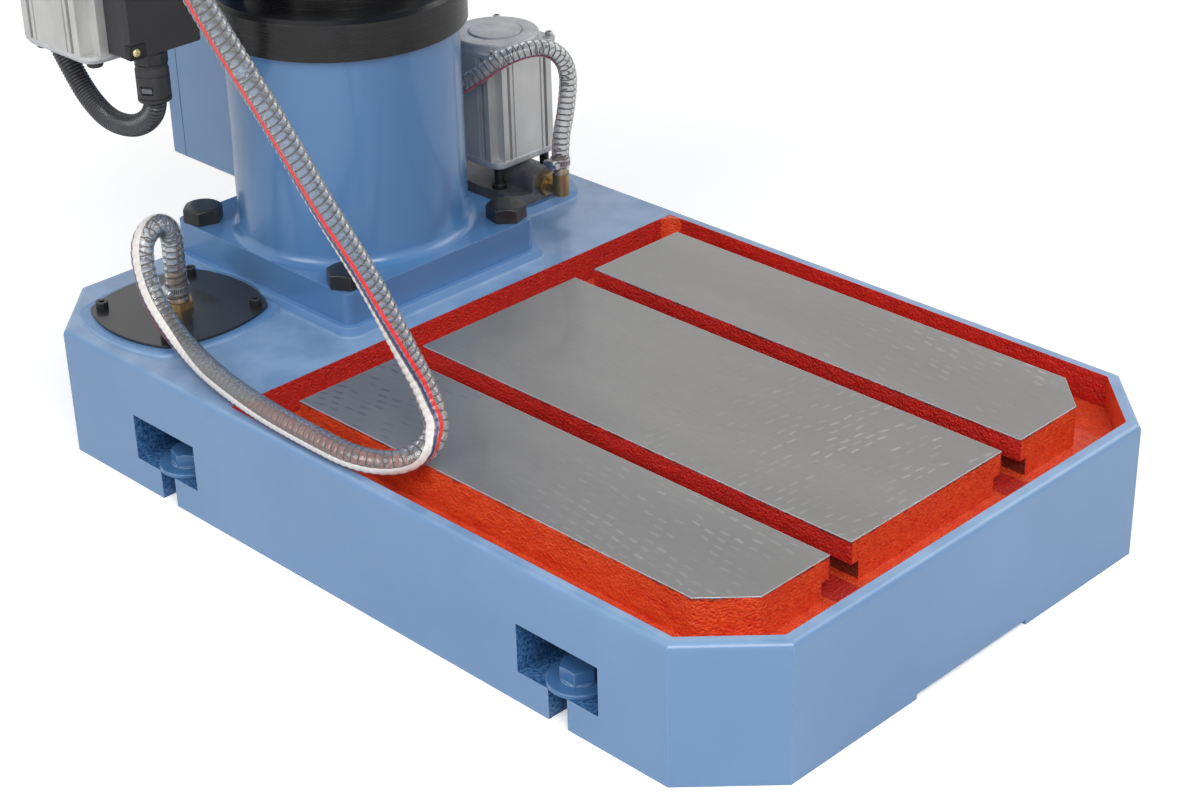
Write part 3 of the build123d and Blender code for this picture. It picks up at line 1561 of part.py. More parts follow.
drain_x = -table_length / 2 - drain_reach
drain_bottom = drain_z - drain_drop
drain_pipe_r = return_bore_r - running_fit
with BuildPart() as table_drain:
    with Locations((-table_length / 2, drain_y, drain_z)):
        Cylinder(drain_flange_r, drain_flange_thick, rotation=(0, -90, 0), align=BOTTOM)
        Cylinder(drain_pipe_r, drain_reach, rotation=(0, -90, 0), align=BOTTOM)
    with Locations((drain_x, drain_y, drain_z)):
        Sphere(drain_pipe_r)
        Cylinder(drain_pipe_r, drain_drop, align=TOP)
table_drain.part.label = "table_drain"
export_step(table_drain.part, "parts/table_drain.step")

# Wire-wound hoses and their clamps; each route is given as steps from the piece that it follows
rim_x = -base_width / 2
return_start = (cover_x, cover_y, fitting_top)
loop_steps = (
    (0, 0, 39.5),
    (-2, -5, 73.3),
    (-16.4, -10.3, 89),
    (-36.6, -17.7, 91.5),
    (-51, -23, 77),
    (-53.5, -34, 39),
    (-55, -56, 17),
)
rim_steps = (
    (40, 99.4, 14),
    (26, 35, 11.4),
    (16, -39, 11.3),
    (14, -108, 11.3),
    (14.5, -176, 11.3),
    (36, -214, 14),
    (71, -216, 28.5),
    (77, -198, 58.5),
    (65, -184, 102),
)
rise_steps = ((174.3, -61.3, -529.8), (140.7, -45.8, -451.3), (114, -37, -384.6))
lift_split = (drain_x + 89, drain_y - 28, drain_bottom - 328.6)
middle_steps = ((66.5, -19.9, -278.2), (46, -14, -226.6))
slide_split = (drain_x + 28, drain_y - 9, drain_bottom - 172.6)
upper_steps = ((11.8, -4.5, -124), (2, -1, -71.6), (0, 0, -16.6))
hose_top = (drain_x, drain_y, drain_z - drain_drop * 0.3)

drain_end = (drain_x, drain_y, drain_bottom)
return_lower_points = [
    return_start,
    *steps_from(return_start, loop_steps),
    *steps_from((rim_x, trough_back, base_height), rim_steps),
    *steps_from(drain_end, rise_steps),
    lift_split,
]
return_middle_points = [lift_split, *steps_from(drain_end, middle_steps), slide_split]
return_upper_points = [slide_split, *steps_from(drain_end, upper_steps), hose_top]
with BuildPart() as return_hose_lower:
    add(hose_tube("return_hose_lower", return_lower_points, return_hose_r, return_bore_r))
return_hose_lower.part.label = "return_hose_lower"
export_step(return_hose_lower.part, "parts/return_hose_lower.step")

with BuildPart() as return_hose_middle:
    add(hose_tube("return_hose_middle", return_middle_points, return_hose_r, return_bore_r))
return_hose_middle.part.label = "return_hose_middle"
export_step(return_hose_middle.part, "parts/return_hose_middle.step")

with BuildPart() as return_hose_upper:
    add(hose_tube("return_hose_upper", return_upper_points, return_hose_r, return_bore_r))
return_hose_upper.part.label = "return_hose_upper"
export_step(return_hose_upper.part, "parts/return_hose_upper.step")

cock_y = spindle_y - head_front + head_length + cock_offset
cock_bottom = head_bottom + cock_rise
elbow_end = (outlet_x, elbow_y, elbow_top)
elbow_steps = ((0, 0, 0), (0, 0, 34), (10, -2, 71), (13, -4, 116), (-9, 4, 141), (-44, 21, 138))
foot_steps = (
    (141, -30, 116),
    (125, 7, 89),
    (119, 47, 82),
    (120, 79, 105),
    (123, 88, 151),
    (125, 91, 236),
)
cock_steps = ((-4, 171, -235), (-1, 91, -135), (0, 14, -83), (0, 0, -42), (0, 0, 0))
hose_foot_z = flange_top + 236
hose_climb = cock_bottom - 235 - hose_foot_z
climb_points = [
    (x, column_y + back, hose_foot_z + share * hose_climb)
    for x, back, share in ((124, 87, 0.19), (126, 91, 0.42), (124, 88, 0.64), (126, 89, 0.83))
]
delivery_points = [
    *steps_from(elbow_end, elbow_steps),
    *steps_from((0, column_y, flange_top), foot_steps),
    *climb_points,
    *steps_from((cock_x, cock_y, cock_bottom), cock_steps),
]
with BuildPart() as delivery_hose:
    add(hose_tube("delivery_hose", delivery_points, delivery_hose_r, delivery_bore_r))
delivery_hose.part.label = "delivery_hose"
export_step(delivery_hose.part, "parts/delivery_hose.step")

with BuildPart() as hose_clamps:
    with Locations((cover_x, cover_y, fitting_top + clamp_lift)):
        add(hose_clamp(return_hose_r))
    with Locations((outlet_x, elbow_y, elbow_top + clamp_lift)):
        add(hose_clamp(delivery_hose_r))
hose_clamps.part.label = "hose_clamps"
export_step(hose_clamps.part, "parts/hose_clamps.step")

# Gear head on the column: housing, cover, drive gears and motor
head_front_y = spindle_y - head_front
head_back_y = head_front_y + head_length
head_middle_y = (head_front_y + head_back_y) / 2
gear_distance = (spindle_teeth + motor_teeth) * gear_module / 2
motor_y = spindle_y + gear_distance
chamber_floor = head_top - chamber_depth
quill_bottom = head_bottom - quill_drop
quill_top = quill_bottom + quill_length
gear_bottom = chamber_floor + gear_rise
chamber_front = spindle_y - spindle_teeth * gear_module / 2 - gear_module - chamber_margin
chamber_back = motor_y + motor_teeth * gear_module / 2 + gear_module + chamber_margin
quill_rack_y = spindle_y + quill_r - quill_rack_inset
feed_y = quill_rack_y + feed_teeth * quill_rack_module / 2
feed_z = head_bottom + feed_rise
feed_tip_r = feed_teeth * quill_rack_module / 2 + 0.9 * quill_rack_module
head_right = head_width / 2
lever_z = head_bottom + lever_rise
panel_z = head_bottom + panel_rise

with BuildPart() as head_casting:
    with BuildSketch(Plane.XY.offset(head_bottom)):
        with Locations((0, head_middle_y)):
            RectangleRounded(head_width, head_length, head_round)
        with Locations((0, (head_middle_y + column_y) / 2)):
            Rectangle(head_neck_width, column_y - head_middle_y)
        with Locations((0, column_y)):
            Circle(head_boss_r)
    extrude(amount=head_height)
    chamfer(head_casting.faces().sort_by(Axis.Z)[0].edges(), head_edge)
    with Locations((0, spindle_y, head_bottom)):
        Cylinder(nose_r, nose_length, align=TOP)
    with Locations((-head_right, feed_y, feed_z)):
        Cylinder(spring_cap_r, spring_cap_height, rotation=(0, -90, 0), align=BOTTOM)
    with Locations((0, column_y, head_bottom)):
        Cylinder(column_r, head_height, align=BOTTOM, mode=Mode.SUBTRACT)
    with Locations((0, (chamber_front + chamber_back) / 2, head_top)):
        Box(
            chamber_width,
            chamber_back - chamber_front,
            chamber_depth,
            align=TOP,
            mode=Mode.SUBTRACT,
        )
    with Locations((0, spindle_y, head_bottom - nose_length)):
        Cylinder(
            quill_r + running_fit,
            chamber_floor - head_floor - head_bottom + nose_length,
            align=BOTTOM,
            mode=Mode.SUBTRACT,
        )
    with Locations((0, spindle_y, chamber_floor)):
        Cylinder(gear_hub_r + running_fit, head_floor, align=TOP, mode=Mode.SUBTRACT)
    with Locations((0, feed_y, feed_z)):
        Cylinder(
            feed_tip_r + gear_clearance,
            feed_pinion_width + 2 * gear_side_gap,
            rotation=(0, 90, 0),
            mode=Mode.SUBTRACT,
        )
    with Locations((-feed_shaft_left, feed_y, feed_z)):
        Cylinder(
            feed_shaft_r + running_fit,
            feed_shaft_left + head_width,
            rotation=(0, 90, 0),
            align=BOTTOM,
            mode=Mode.SUBTRACT,
        )
    with Locations(
        (-lever_spacing / 2, head_front_y, lever_z), (lever_spacing / 2, head_front_y, lever_z)
    ):
        Cylinder(
            lever_spigot_r + running_fit,
            lever_spigot_length + cut_margin,
            rotation=(-90, 0, 0),
            align=BOTTOM,
            mode=Mode.SUBTRACT,
        )
head_casting.part.label = "head_casting"
export_step(head_casting.part, "parts/head_casting.step")

cover_top_z = head_top + cover_plate
with BuildPart() as head_cover:
    with BuildSketch(Plane.XY.offset(head_top)):
        with Locations((0, head_middle_y)):
            RectangleRounded(
                head_width - 2 * cover_plate_inset,
                head_length - 2 * cover_plate_inset,
                head_round - cover_plate_inset,
            )
    extrude(amount=cover_plate)
    chamfer(head_cover.faces().sort_by(Axis.Z)[-1].edges(), cover_plate / 3)
    with Locations((0, spindle_y, cover_top_z)):
        Cylinder(spindle_cap_r, spindle_cap_height, align=BOTTOM)
    with Locations((0, spindle_y, head_top)):
        Cylinder(
            spindle_cap_r - spindle_cap_wall,
            cover_plate + spindle_cap_height - spindle_cap_wall,
            align=BOTTOM,
            mode=Mode.SUBTRACT,
        )
    with Locations((0, motor_y, head_top)):
        Cylinder(motor_shaft_r + gear_clearance, cover_plate, align=BOTTOM, mode=Mode.SUBTRACT)
head_cover.part.label = "head_cover"
export_step(head_cover.part, "parts/head_cover.step")

with BuildPart() as spindle_gear:
    extrude(
        gear_outline(
            Plane((0, spindle_y, gear_bottom)), spindle_teeth, gear_module, 180.0 / spindle_teeth
        ),
        amount=gear_width,
    )
    with Locations((0, spindle_y, chamber_floor + slide_gap)):
        Cylinder(gear_hub_flange_r, gear_rise, align=BOTTOM)
        Cylinder(gear_hub_r, head_floor, align=TOP)
    with Locations((0, spindle_y, chamber_floor - head_floor)):
        Cylinder(
            spindle_spline_r + running_fit, 2 * chamber_depth, align=BOTTOM, mode=Mode.SUBTRACT
        )
spindle_gear.part.label = "spindle_gear"
export_step(spindle_gear.part, "parts/spindle_gear.step")

with BuildPart() as motor_pinion:
    extrude(
        gear_outline(Plane((0, motor_y, gear_bottom)), motor_teeth, gear_module), amount=gear_width
    )
    with Locations((0, motor_y, gear_bottom - motor_shaft_drop)):
        Cylinder(
            motor_shaft_r,
            cover_top_z + motor_shaft_socket - gear_bottom + motor_shaft_drop,
            align=BOTTOM,
        )
motor_pinion.part.label = "motor_pinion"
export_step(motor_pinion.part, "parts/motor_pinion.step")

motor_body_bottom = cover_top_z + motor_flange_thick
motor_body_top = motor_body_bottom + motor_body_height
with BuildPart() as main_motor:
    with Locations((0, motor_y, cover_top_z)):
        Cylinder(motor_flange_r, motor_flange_thick, align=BOTTOM)
    with Locations((0, motor_y, motor_body_bottom)):
        Cylinder(motor_core_r, motor_body_height, align=BOTTOM)
        with PolarLocations((motor_core_r + motor_fin_r) / 2 - motor_fin_root, motor_fin_count):
            Box(
                motor_fin_r - motor_core_r + 2 * motor_fin_root,
                motor_fin_thick,
                motor_body_height - motor_shield,
                align=BOTTOM,
            )
    with Locations((0, motor_y, motor_body_top)):
        Cylinder(fan_cover_r, motor_shield, align=TOP)
    with Locations((motor_core_r - motor_box_sink, motor_y, motor_body_bottom + motor_body_height / 2)):
        Box(
            motor_box_reach + motor_box_sink,
            motor_box_width,
            motor_box_height,
            align=(Align.MIN, Align.CENTER, Align.CENTER),
        )
    with Locations((0, motor_y, cover_top_z)):
        Cylinder(
            motor_shaft_r + running_fit,
            motor_shaft_socket + gear_clearance,
            align=BOTTOM,
            mode=Mode.SUBTRACT,
        )
main_motor.part.label = "main_motor"
export_step(main_motor.part, "parts/main_motor.step")

with BuildPart() as motor_fan_cover:
    with BuildSketch(Plane(origin=(0, motor_y, motor_body_top), x_dir=(1, 0, 0), z_dir=(0, -1, 0))):
        with BuildLine():
            Polyline(
                (0, fan_cover_height),
                (fan_cover_r * 0.8, fan_cover_height),
                (fan_cover_r, fan_cover_height * 0.7),
                (fan_cover_r, 0),
                (fan_cover_r - fan_cover_wall, 0),
                (fan_cover_r - fan_cover_wall, fan_cover_height * 0.66),
                (fan_cover_r * 0.78, fan_cover_height - fan_cover_wall),
                (0, fan_cover_height - fan_cover_wall),
                close=True,
            )
        make_face()
    revolve(axis=Axis((0, motor_y, 0), (0, 0, 1)))
    with Locations((0, motor_y, motor_body_top + fan_cover_height)):
        with PolarLocations(fan_cover_r * 0.45, fan_slot_count):
            Box(fan_cover_r * 0.42, fan_slot_width, 3 * fan_cover_wall, mode=Mode.SUBTRACT)
motor_fan_cover.part.label = "motor_fan_cover"
export_step(motor_fan_cover.part, "parts/motor_fan_cover.step")

# Quill with its rack, spindle with its taper socket, and the feed hub
quill_rack_pitch = pi * quill_rack_module
quill_gap_count = int((quill_top - feed_z) / quill_rack_pitch)
quill_mouth = 1.27 * quill_rack_module
quill_root = 0.42 * quill_rack_module
quill_tip_y = quill_rack_y + quill_rack_module
with BuildPart() as quill:
    with Locations((0, spindle_y, quill_bottom)):
        Cylinder(quill_r, quill_length, align=BOTTOM)
        Cylinder(spindle_r + running_fit, quill_length, align=BOTTOM, mode=Mode.SUBTRACT)
    with BuildSketch(Plane.YZ):
        for step in range(-1, quill_gap_count + 1):
            level = feed_z + step * quill_rack_pitch
            Polygon(
                (quill_tip_y + quill_rack_inset, level - quill_mouth - flank * quill_rack_inset),
                (quill_rack_y - 1.25 * quill_rack_module, level - quill_root),
                (quill_rack_y - 1.25 * quill_rack_module, level + quill_root),
                (quill_tip_y + quill_rack_inset, level + quill_mouth + flank * quill_rack_inset),
                align=None,
            )
    extrude(amount=feed_pinion_width / 2 + slide_gap, both=True, mode=Mode.SUBTRACT)
    with Locations((0, quill_tip_y, feed_z - 3 * quill_rack_pitch)):
        Box(
            feed_pinion_width + 2 * slide_gap,
            quill_rack_inset,
            quill_length,
            align=(Align.CENTER, Align.MIN, Align.MIN),
            mode=Mode.SUBTRACT,
        )
quill.part.label = "quill"
export_step(quill.part, "parts/quill.step")

spindle_bottom = quill_bottom - slide_gap - spindle_nose
with BuildPart() as spindle:
    with Locations((0, spindle_y, spindle_bottom)):
        Cylinder(spindle_nose_r, spindle_nose, align=BOTTOM)
    with Locations((0, spindle_y, quill_bottom - slide_gap)):
        Cylinder(spindle_r, quill_length + slide_gap, align=BOTTOM)
    with Locations((0, spindle_y, quill_top)):
        Cylinder(spindle_spline_r, spindle_spline_length, align=BOTTOM)
    chamfer(spindle.faces().sort_by(Axis.Z)[0].edges(), spindle_chamfer)
    with Locations((0, spindle_y, spindle_bottom + socket_depth / 2)):
        Cone(socket_mouth_r, socket_end_r, socket_depth, mode=Mode.SUBTRACT)
spindle.part.label = "spindle"
export_step(spindle.part, "parts/spindle.step")

feed_plane = Plane(
    origin=(head_right + slide_gap, feed_y, feed_z), x_dir=(0, 0, 1), z_dir=(1, 0, 0)
)
lever_radial = feed_lever_seat + feed_lever_length * sin(radians(feed_lever_tilt))
lever_axial = feed_hub_length * 0.45 + feed_lever_length * cos(radians(feed_lever_tilt))
with BuildPart(feed_plane) as feed_hub:
    Cylinder(feed_dial_r, feed_dial_length, align=BOTTOM)
    Cylinder(feed_hub_r, feed_hub_length, align=BOTTOM)
    chamfer(feed_hub.faces().sort_by(Axis.X)[-1].edges(), feed_hub_chamfer)
    with Locations((0, 0, feed_hub_length * 0.45)):
        with PolarLocations(feed_lever_seat, feed_lever_count):
            Cylinder(
                feed_lever_r,
                feed_lever_length,
                rotation=(0, feed_lever_tilt, 0),
                align=BOTTOM,
            )
    Cylinder(feed_shaft_r, head_right + feed_shaft_left - slide_gap, align=TOP)
    pinion_place = Plane(origin=(0, feed_y, feed_z), x_dir=(0, -1, 0), z_dir=(1, 0, 0))
    extrude(
        gear_outline(pinion_place, feed_teeth, quill_rack_module),
        amount=feed_pinion_width / 2,
        both=True,
    )
feed_hub.part.label = "feed_hub"
export_step(feed_hub.part, "parts/feed_hub.step")

with BuildPart(feed_plane) as feed_knobs:
    with Locations((0, 0, lever_axial)):
        with PolarLocations(lever_radial, feed_lever_count):
            Sphere(feed_knob_r)
            Cylinder(
                feed_lever_r + running_fit,
                2 * feed_knob_r,
                rotation=(0, feed_lever_tilt, 0),
                align=TOP,
                mode=Mode.SUBTRACT,
            )
feed_knobs.part.label = "feed_knobs"
export_step(feed_knobs.part, "parts/feed_knobs.step")

# Gear levers, control panel and push buttons on the front of the head
for name, side in (("speed_lever_left", -1), ("speed_lever_right", 1)):
    lever_plane = Plane(
        origin=(side * lever_spacing / 2, head_front_y - slide_gap, lever_z),
        x_dir=(0, 0, -1),
        z_dir=(0, -1, 0),
    )
    with BuildPart(lever_plane) as speed_lever:
        Cylinder(lever_hub_r, lever_hub_length, align=BOTTOM)
        chamfer(speed_lever.faces().sort_by(Axis.Y)[0].edges(), lever_hub_chamfer)
        Cylinder(lever_spigot_r, lever_spigot_length, align=TOP)
        with Locations((0, 0, lever_hub_length / 2)):
            Cylinder(lever_arm_r, lever_arm_length, rotation=(0, lever_tilt, 0), align=BOTTOM)
        with Locations(
            (
                lever_arm_length * sin(radians(lever_tilt)),
                0,
                lever_hub_length / 2 + lever_arm_length * cos(radians(lever_tilt)),
            )
        ):
            Sphere(lever_knob_r)
    speed_lever.part.label = name
    export_step(speed_lever.part, f"parts/{name}.step")

panel_face = head_front_y - panel_depth
button_places = {"start_button": -button_spacing, "stop_button": 0.0, "emergency_stop": button_spacing}
with BuildPart() as control_panel:
    with BuildSketch(Plane(origin=(0, head_front_y, panel_z), x_dir=(1, 0, 0), z_dir=(0, -1, 0))):
        RectangleRounded(panel_width, panel_height, panel_round)
    extrude(amount=panel_depth)
    fillet(control_panel.faces().sort_by(Axis.Y)[0].edges(), panel_round / 2)
    with Locations(*[(place, panel_face, panel_z) for place in button_places.values()]):
        Cylinder(
            button_stem_r + slide_gap,
            button_stem_length + button_travel,
            rotation=(-90, 0, 0),
            align=BOTTOM,
            mode=Mode.SUBTRACT,
        )
control_panel.part.label = "control_panel"
export_step(control_panel.part, "parts/control_panel.step")

for name, place in button_places.items():
    mushroom = name == "emergency_stop"
    cap_r = stop_knob_r if mushroom else button_r
    cap_height = stop_knob_height if mushroom else button_height
    button_plane = Plane(
        origin=(place, panel_face - button_travel - slide_gap, panel_z),
        x_dir=(1, 0, 0),
        z_dir=(0, -1, 0),
    )
    with BuildPart(button_plane) as button:
        Cylinder(cap_r, cap_height, align=BOTTOM)
        fillet(button.faces().sort_by(Axis.Y)[0].edges(), cap_height * 0.3)
        Cylinder(button_stem_r, button_stem_length, align=TOP)
    button.part.label = name
    export_step(button.part, f"parts/{name}.step")

# Coolant cock on the head's back and the nozzle pipe under its front
nozzle_points = [
    (nozzle_x, spindle_y - nozzle_lead, head_bottom),
    (nozzle_x, spindle_y - nozzle_lead, head_bottom - nozzle_fall),
    (nozzle_x * 0.62, spindle_y - nozzle_lead * 0.6, head_bottom - 1.6 * nozzle_fall),
]
with BuildPart() as coolant_nozzle:
    with Locations((cock_x, cock_y, cock_bottom)):
        Cylinder(cock_r, cock_height, align=BOTTOM)
    with Locations((cock_x, cock_y, cock_bottom + cock_height / 2)):
        Cylinder(cock_stub_r, cock_offset, rotation=(90, 0, 0), align=BOTTOM)
    with BuildLine() as nozzle_route:
        FilletPolyline(*nozzle_points, radius=4 * nozzle_r)
    with BuildSketch(Plane((nozzle_x, spindle_y - nozzle_lead, head_bottom), z_dir=(0, 0, -1))):
        Circle(nozzle_r)
    sweep(path=nozzle_route.wire())
coolant_nozzle.part.label = "coolant_nozzle"
export_step(coolant_nozzle.part, "parts/coolant_nozzle.step")
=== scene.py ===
from math import atan2, cos, pi, radians, sin

import bmesh
import bpy
from mathutils import Matrix, Quaternion, Vector


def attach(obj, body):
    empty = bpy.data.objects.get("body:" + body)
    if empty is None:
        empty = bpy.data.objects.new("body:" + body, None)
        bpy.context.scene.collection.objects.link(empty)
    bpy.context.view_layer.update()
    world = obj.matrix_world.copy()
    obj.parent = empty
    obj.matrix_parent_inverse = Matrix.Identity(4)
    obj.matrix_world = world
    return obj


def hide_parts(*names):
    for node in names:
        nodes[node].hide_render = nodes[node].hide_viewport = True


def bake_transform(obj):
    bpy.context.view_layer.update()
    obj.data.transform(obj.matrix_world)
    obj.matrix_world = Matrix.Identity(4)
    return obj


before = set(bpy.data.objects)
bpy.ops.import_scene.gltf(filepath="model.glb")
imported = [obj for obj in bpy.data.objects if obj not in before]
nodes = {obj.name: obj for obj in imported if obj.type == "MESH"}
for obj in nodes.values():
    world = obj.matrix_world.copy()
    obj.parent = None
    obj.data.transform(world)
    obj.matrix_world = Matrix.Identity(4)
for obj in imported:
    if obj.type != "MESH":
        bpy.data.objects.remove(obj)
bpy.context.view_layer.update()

# The camera stands off the front left corner of the base and looks down on it
camera_place = Vector((-1.3967, -1.4395, 1.1526))
camera_aim = Vector((0.62056, 0.62651, -0.47158))
camera_roll = radians(-1.35)
camera_lens = 72.39
camera_sensor = 36.0


def aimed(data, spot, way, roll=0.0):
    """Sets up a camera or lamp at a spot, facing a way."""
    stand = bpy.data.objects.new(data.name, data)
    bpy.context.scene.collection.objects.link(stand)
    stand.location = spot
    stand.rotation_mode = "QUATERNION"
    stand.rotation_quaternion = way.to_track_quat("-Z", "Y") @ Quaternion((0, 0, 1), roll)
    return stand


camera_data = bpy.data.cameras.new("corner_camera")
camera_data.lens = camera_lens
camera_data.sensor_width = camera_sensor
bpy.context.scene.camera = aimed(camera_data, camera_place, camera_aim, camera_roll)
bpy.context.scene.view_settings.view_transform = "Standard"


# Shader building blocks
def fill(tree, socket, value):
    """Sets a socket to a value, or links it to what varies."""
    if isinstance(value, Number):
        value = value.socket
    if isinstance(value, bpy.types.NodeSocket):
        tree.links.new(value, socket)
    else:
        socket.default_value = value


def node(tree, kind, inputs=(), **settings):
    """A shader node with its settings and inputs."""
    made = tree.nodes.new("ShaderNode" + kind)
    for name, value in settings.items():
        setattr(made, name, value)
    for name, value in dict(inputs).items():
        fill(tree, made.inputs[name], value)
    return made


def number(tree, kind, output, inputs=(), **settings):
    """The number that a new node puts out."""
    return Number(tree, node(tree, kind, inputs, **settings).outputs[output])


def calc(operation, first, second=0.0):
    """One sum on two numbers, of which at least one varies."""
    tree = (first if isinstance(first, Number) else second).tree
    return number(tree, "Math", 0, {0: first, 1: second}, operation=operation)


class Number:
    """A number that varies over a surface. Each sum with it adds a node to its tree.

    & takes the lesser of two numbers and | the greater; masks are 0 or 1, and * joins them.
    """

    def __init__(self, tree, socket):
        self.tree = tree
        self.socket = socket

    def __add__(self, other):
        return calc("ADD", self, other)

    def __sub__(self, other):
        return calc("SUBTRACT", self, other)

    def __rsub__(self, other):
        return calc("SUBTRACT", other, self)

    def __mul__(self, other):
        return calc("MULTIPLY", self, other)

    def __truediv__(self, other):
        return calc("DIVIDE", self, other)

    def __gt__(self, other):
        return calc("GREATER_THAN", self, other)

    def __lt__(self, other):
        return calc("LESS_THAN", self, other)

    def __and__(self, other):
        return calc("MINIMUM", self, other)

    def __or__(self, other):
        return calc("MAXIMUM", self, other)

    def __abs__(self):
        return calc("ABSOLUTE", self)

    def inside(self, low, high):
        """1 where the number lies between two bounds."""
        return (self > low) * (self < high)

    def band(self, low, high, start=0.0, end=1.0):
        """The number run from start to end between low and high, and held beyond them."""
        inputs = {"Value": self, "From Min": low, "From Max": high, "To Min": start, "To Max": end}
        return number(self.tree, "MapRange", 0, inputs)


class Finish:
    """A material, and the patterns that its shader is fed with."""

    def __init__(self, name, colour, roughness, metallic=0.0, **sockets):
        self.material = bpy.data.materials.new(name)
        self.material.use_nodes = True
        self.tree = self.material.node_tree
        self.shader = self.tree.nodes["Principled BSDF"]
        self.feed(Base_Color=colour, Roughness=roughness, Metallic=metallic, **sockets)

    def feed(self, **sockets):
        """Sets or links the shader's sockets by name."""
        for name, value in sockets.items():
            fill(self.tree, self.shader.inputs[name.replace("_", " ")], value)

    def place(self, stretch=(1, 1, 1), turn=(0, 0, 0), centre=(0, 0, 0)):
        """Where a point is on the machine, in metres, moved to a centre, turned and stretched."""
        spot = node(self.tree, "TexCoord").outputs["Object"]
        shift = {"Vector": spot, "Location": [-c for c in centre]}
        moved = node(self.tree, "Mapping", shift).outputs[0]
        return node(self.tree, "Mapping", {"Vector": moved, "Rotation": turn, "Scale": stretch}).outputs[0]

    def spots(self, **where):
        """The three numbers of a place."""
        parts = node(self.tree, "SeparateXYZ", {0: self.place(**where)})
        return [Number(self.tree, socket) for socket in parts.outputs]

    def clouds(self, scale, detail=3.0, stretch=(1, 1, 1), turn=(0, 0, 0), rough=0.5):
        """Soft noise from 0 to 1; scale counts its clouds in a metre."""
        spot = self.place(stretch, turn)
        inputs = {"Vector": spot, "Scale": scale, "Detail": detail, "Roughness": rough}
        return number(self.tree, "TexNoise", "Fac", inputs)

    def mixed(self, share, first, second):
        """Two colours, the second by its share."""
        return node(self.tree, "Mix", {0: share, 6: first, 7: second}, data_type="RGBA").outputs[2]

    def rounded(self, radius):
        """The way the surface faces, with its edges rounded."""
        return node(self.tree, "Bevel", {"Radius": radius}, samples=4).outputs[0]

    def edges(self, radius):
        """1 along sharp edges and corners, 0 on flats."""
        ways = {0: self.rounded(radius), 1: node(self.tree, "NewGeometry").outputs["Normal"]}
        return number(self.tree, "VectorMath", "Value", ways, operation="DOT_PRODUCT").band(0.995, 0.80)

    def worn(self, radius, scale, low=0.45, high=0.62, start=0.15, end=0.8):
        """Edges that are rubbed in patches; the last four numbers are those of the patches' band."""
        return self.edges(radius) * self.clouds(scale, 4.0).band(low, high, start, end)

    def drift(self):
        """The slow change of shade in sprayed paint."""
        return self.clouds(5, 4.0).band(0.35, 0.7)

    def strokes(self):
        """The strokes of a brush."""
        return self.clouds(150, 5.0, (1.0, 0.32, 0.7), (0, 0, 0.5), 0.7)

    def peel(self):
        """Fine orange peel over the slow waves of a rubbed-down casting."""
        return self.clouds(420, 2.0) * 0.05 + self.clouds(30, 2.0) * 0.2

    def done(self, height, depth, edge_radius=0.0012, **sockets):
        """Raises the surface by height times depth, in metres, feeds the sockets and returns the material."""
        inputs = {"Height": height, "Distance": depth, "Normal": self.rounded(edge_radius)}
        self.feed(Normal=node(self.tree, "Bump", inputs).outputs[0], **sockets)
        return self.material


def rgb(red, green, blue):
    """A colour as it looks on a screen, 0 to 255, in the shader's linear values."""
    shares = [channel / 255 for channel in (red, green, blue)]
    return [s / 12.92 if s < 0.04045 else ((s + 0.055) / 1.055) ** 2.4 for s in shares] + [1.0]


def paler(colour, gain):
    """A colour made lighter."""
    return [min(1.0, channel * gain + 0.02) for channel in colour[:3]] + [1.0]


# Finishes
blue = rgb(109, 145, 185)
blue_deep = rgb(100, 136, 177)
# Pale blue of worn edges; on the base it is also the painted highlight along the rim and edges
blue_wear_and_highlight = rgb(148, 178, 212)
red_lead = rgb(222, 54, 16)
red_lead_lit = rgb(244, 92, 34)
# Darker reds painted in the slots and along the trough's outer walls as shade
red_wall_shade = rgb(212, 36, 18)
red_shade = rgb(178, 22, 13)
# Painted light: the deck's top face is painted in a blue tone of its own for how light falls on it
deck_tone_for_light = rgb(98, 143, 192)
deck_tone_for_light_deep = rgb(90, 135, 184)
iron = rgb(162, 160, 158)
iron_dull = rgb(146, 145, 144)
iron_shine = 0.72


def enamel(name, colour, deep, worn, roughness):
    """Sprayed enamel on a casting: drifting shade, orange peel, and edges rubbed paler."""
    finish = Finish(name, colour, roughness, Coat_Weight=0.35, Coat_Roughness=0.06)
    sprayed = finish.mixed(finish.drift(), deep, colour)
    rubbed = finish.mixed(finish.worn(0.0011, 140), sprayed, worn)
    return finish.done(finish.peel(), 0.0005, Base_Color=rubbed)


def scraped_rows(finish, turn):
    """Staggered rows of short strokes, turned about the upright."""
    row_pitch, stroke_pitch, stagger = 0.0095, 0.0165, 0.37
    x, y = finish.spots(turn=(0, 0, turn))[:2]
    rows = (y + finish.clouds(26, 2.0) * 0.012) / row_pitch
    row = calc("FLOOR", rows)
    strokes = x / stroke_pitch + row * stagger
    stroke = calc("FLOOR", strokes)
    across, along = abs(rows - row - 0.5), abs(strokes - stroke - 0.5)
    cell = node(finish.tree, "CombineXYZ", {0: row, 1: stroke}).outputs[0]
    chance = number(finish.tree, "TexWhiteNoise", "Value", {"Vector": cell})
    return across.band(0.2, 0.08) * along.band(0.36, 0.22) * chance.band(0.3, 0.8)


def scraped_dashes(finish, across, y):
    """Hand-scraping marks at the front of the lands: along the outer lands, across the middle one."""
    middle = across < 0.11
    rows = scraped_rows(finish, radians(8)) * middle + scraped_rows(finish, radians(97)) * (1.0 - middle)
    return rows * finish.clouds(8, 2.0).band(0.36, 0.6) * y.band(-0.12, -0.34)


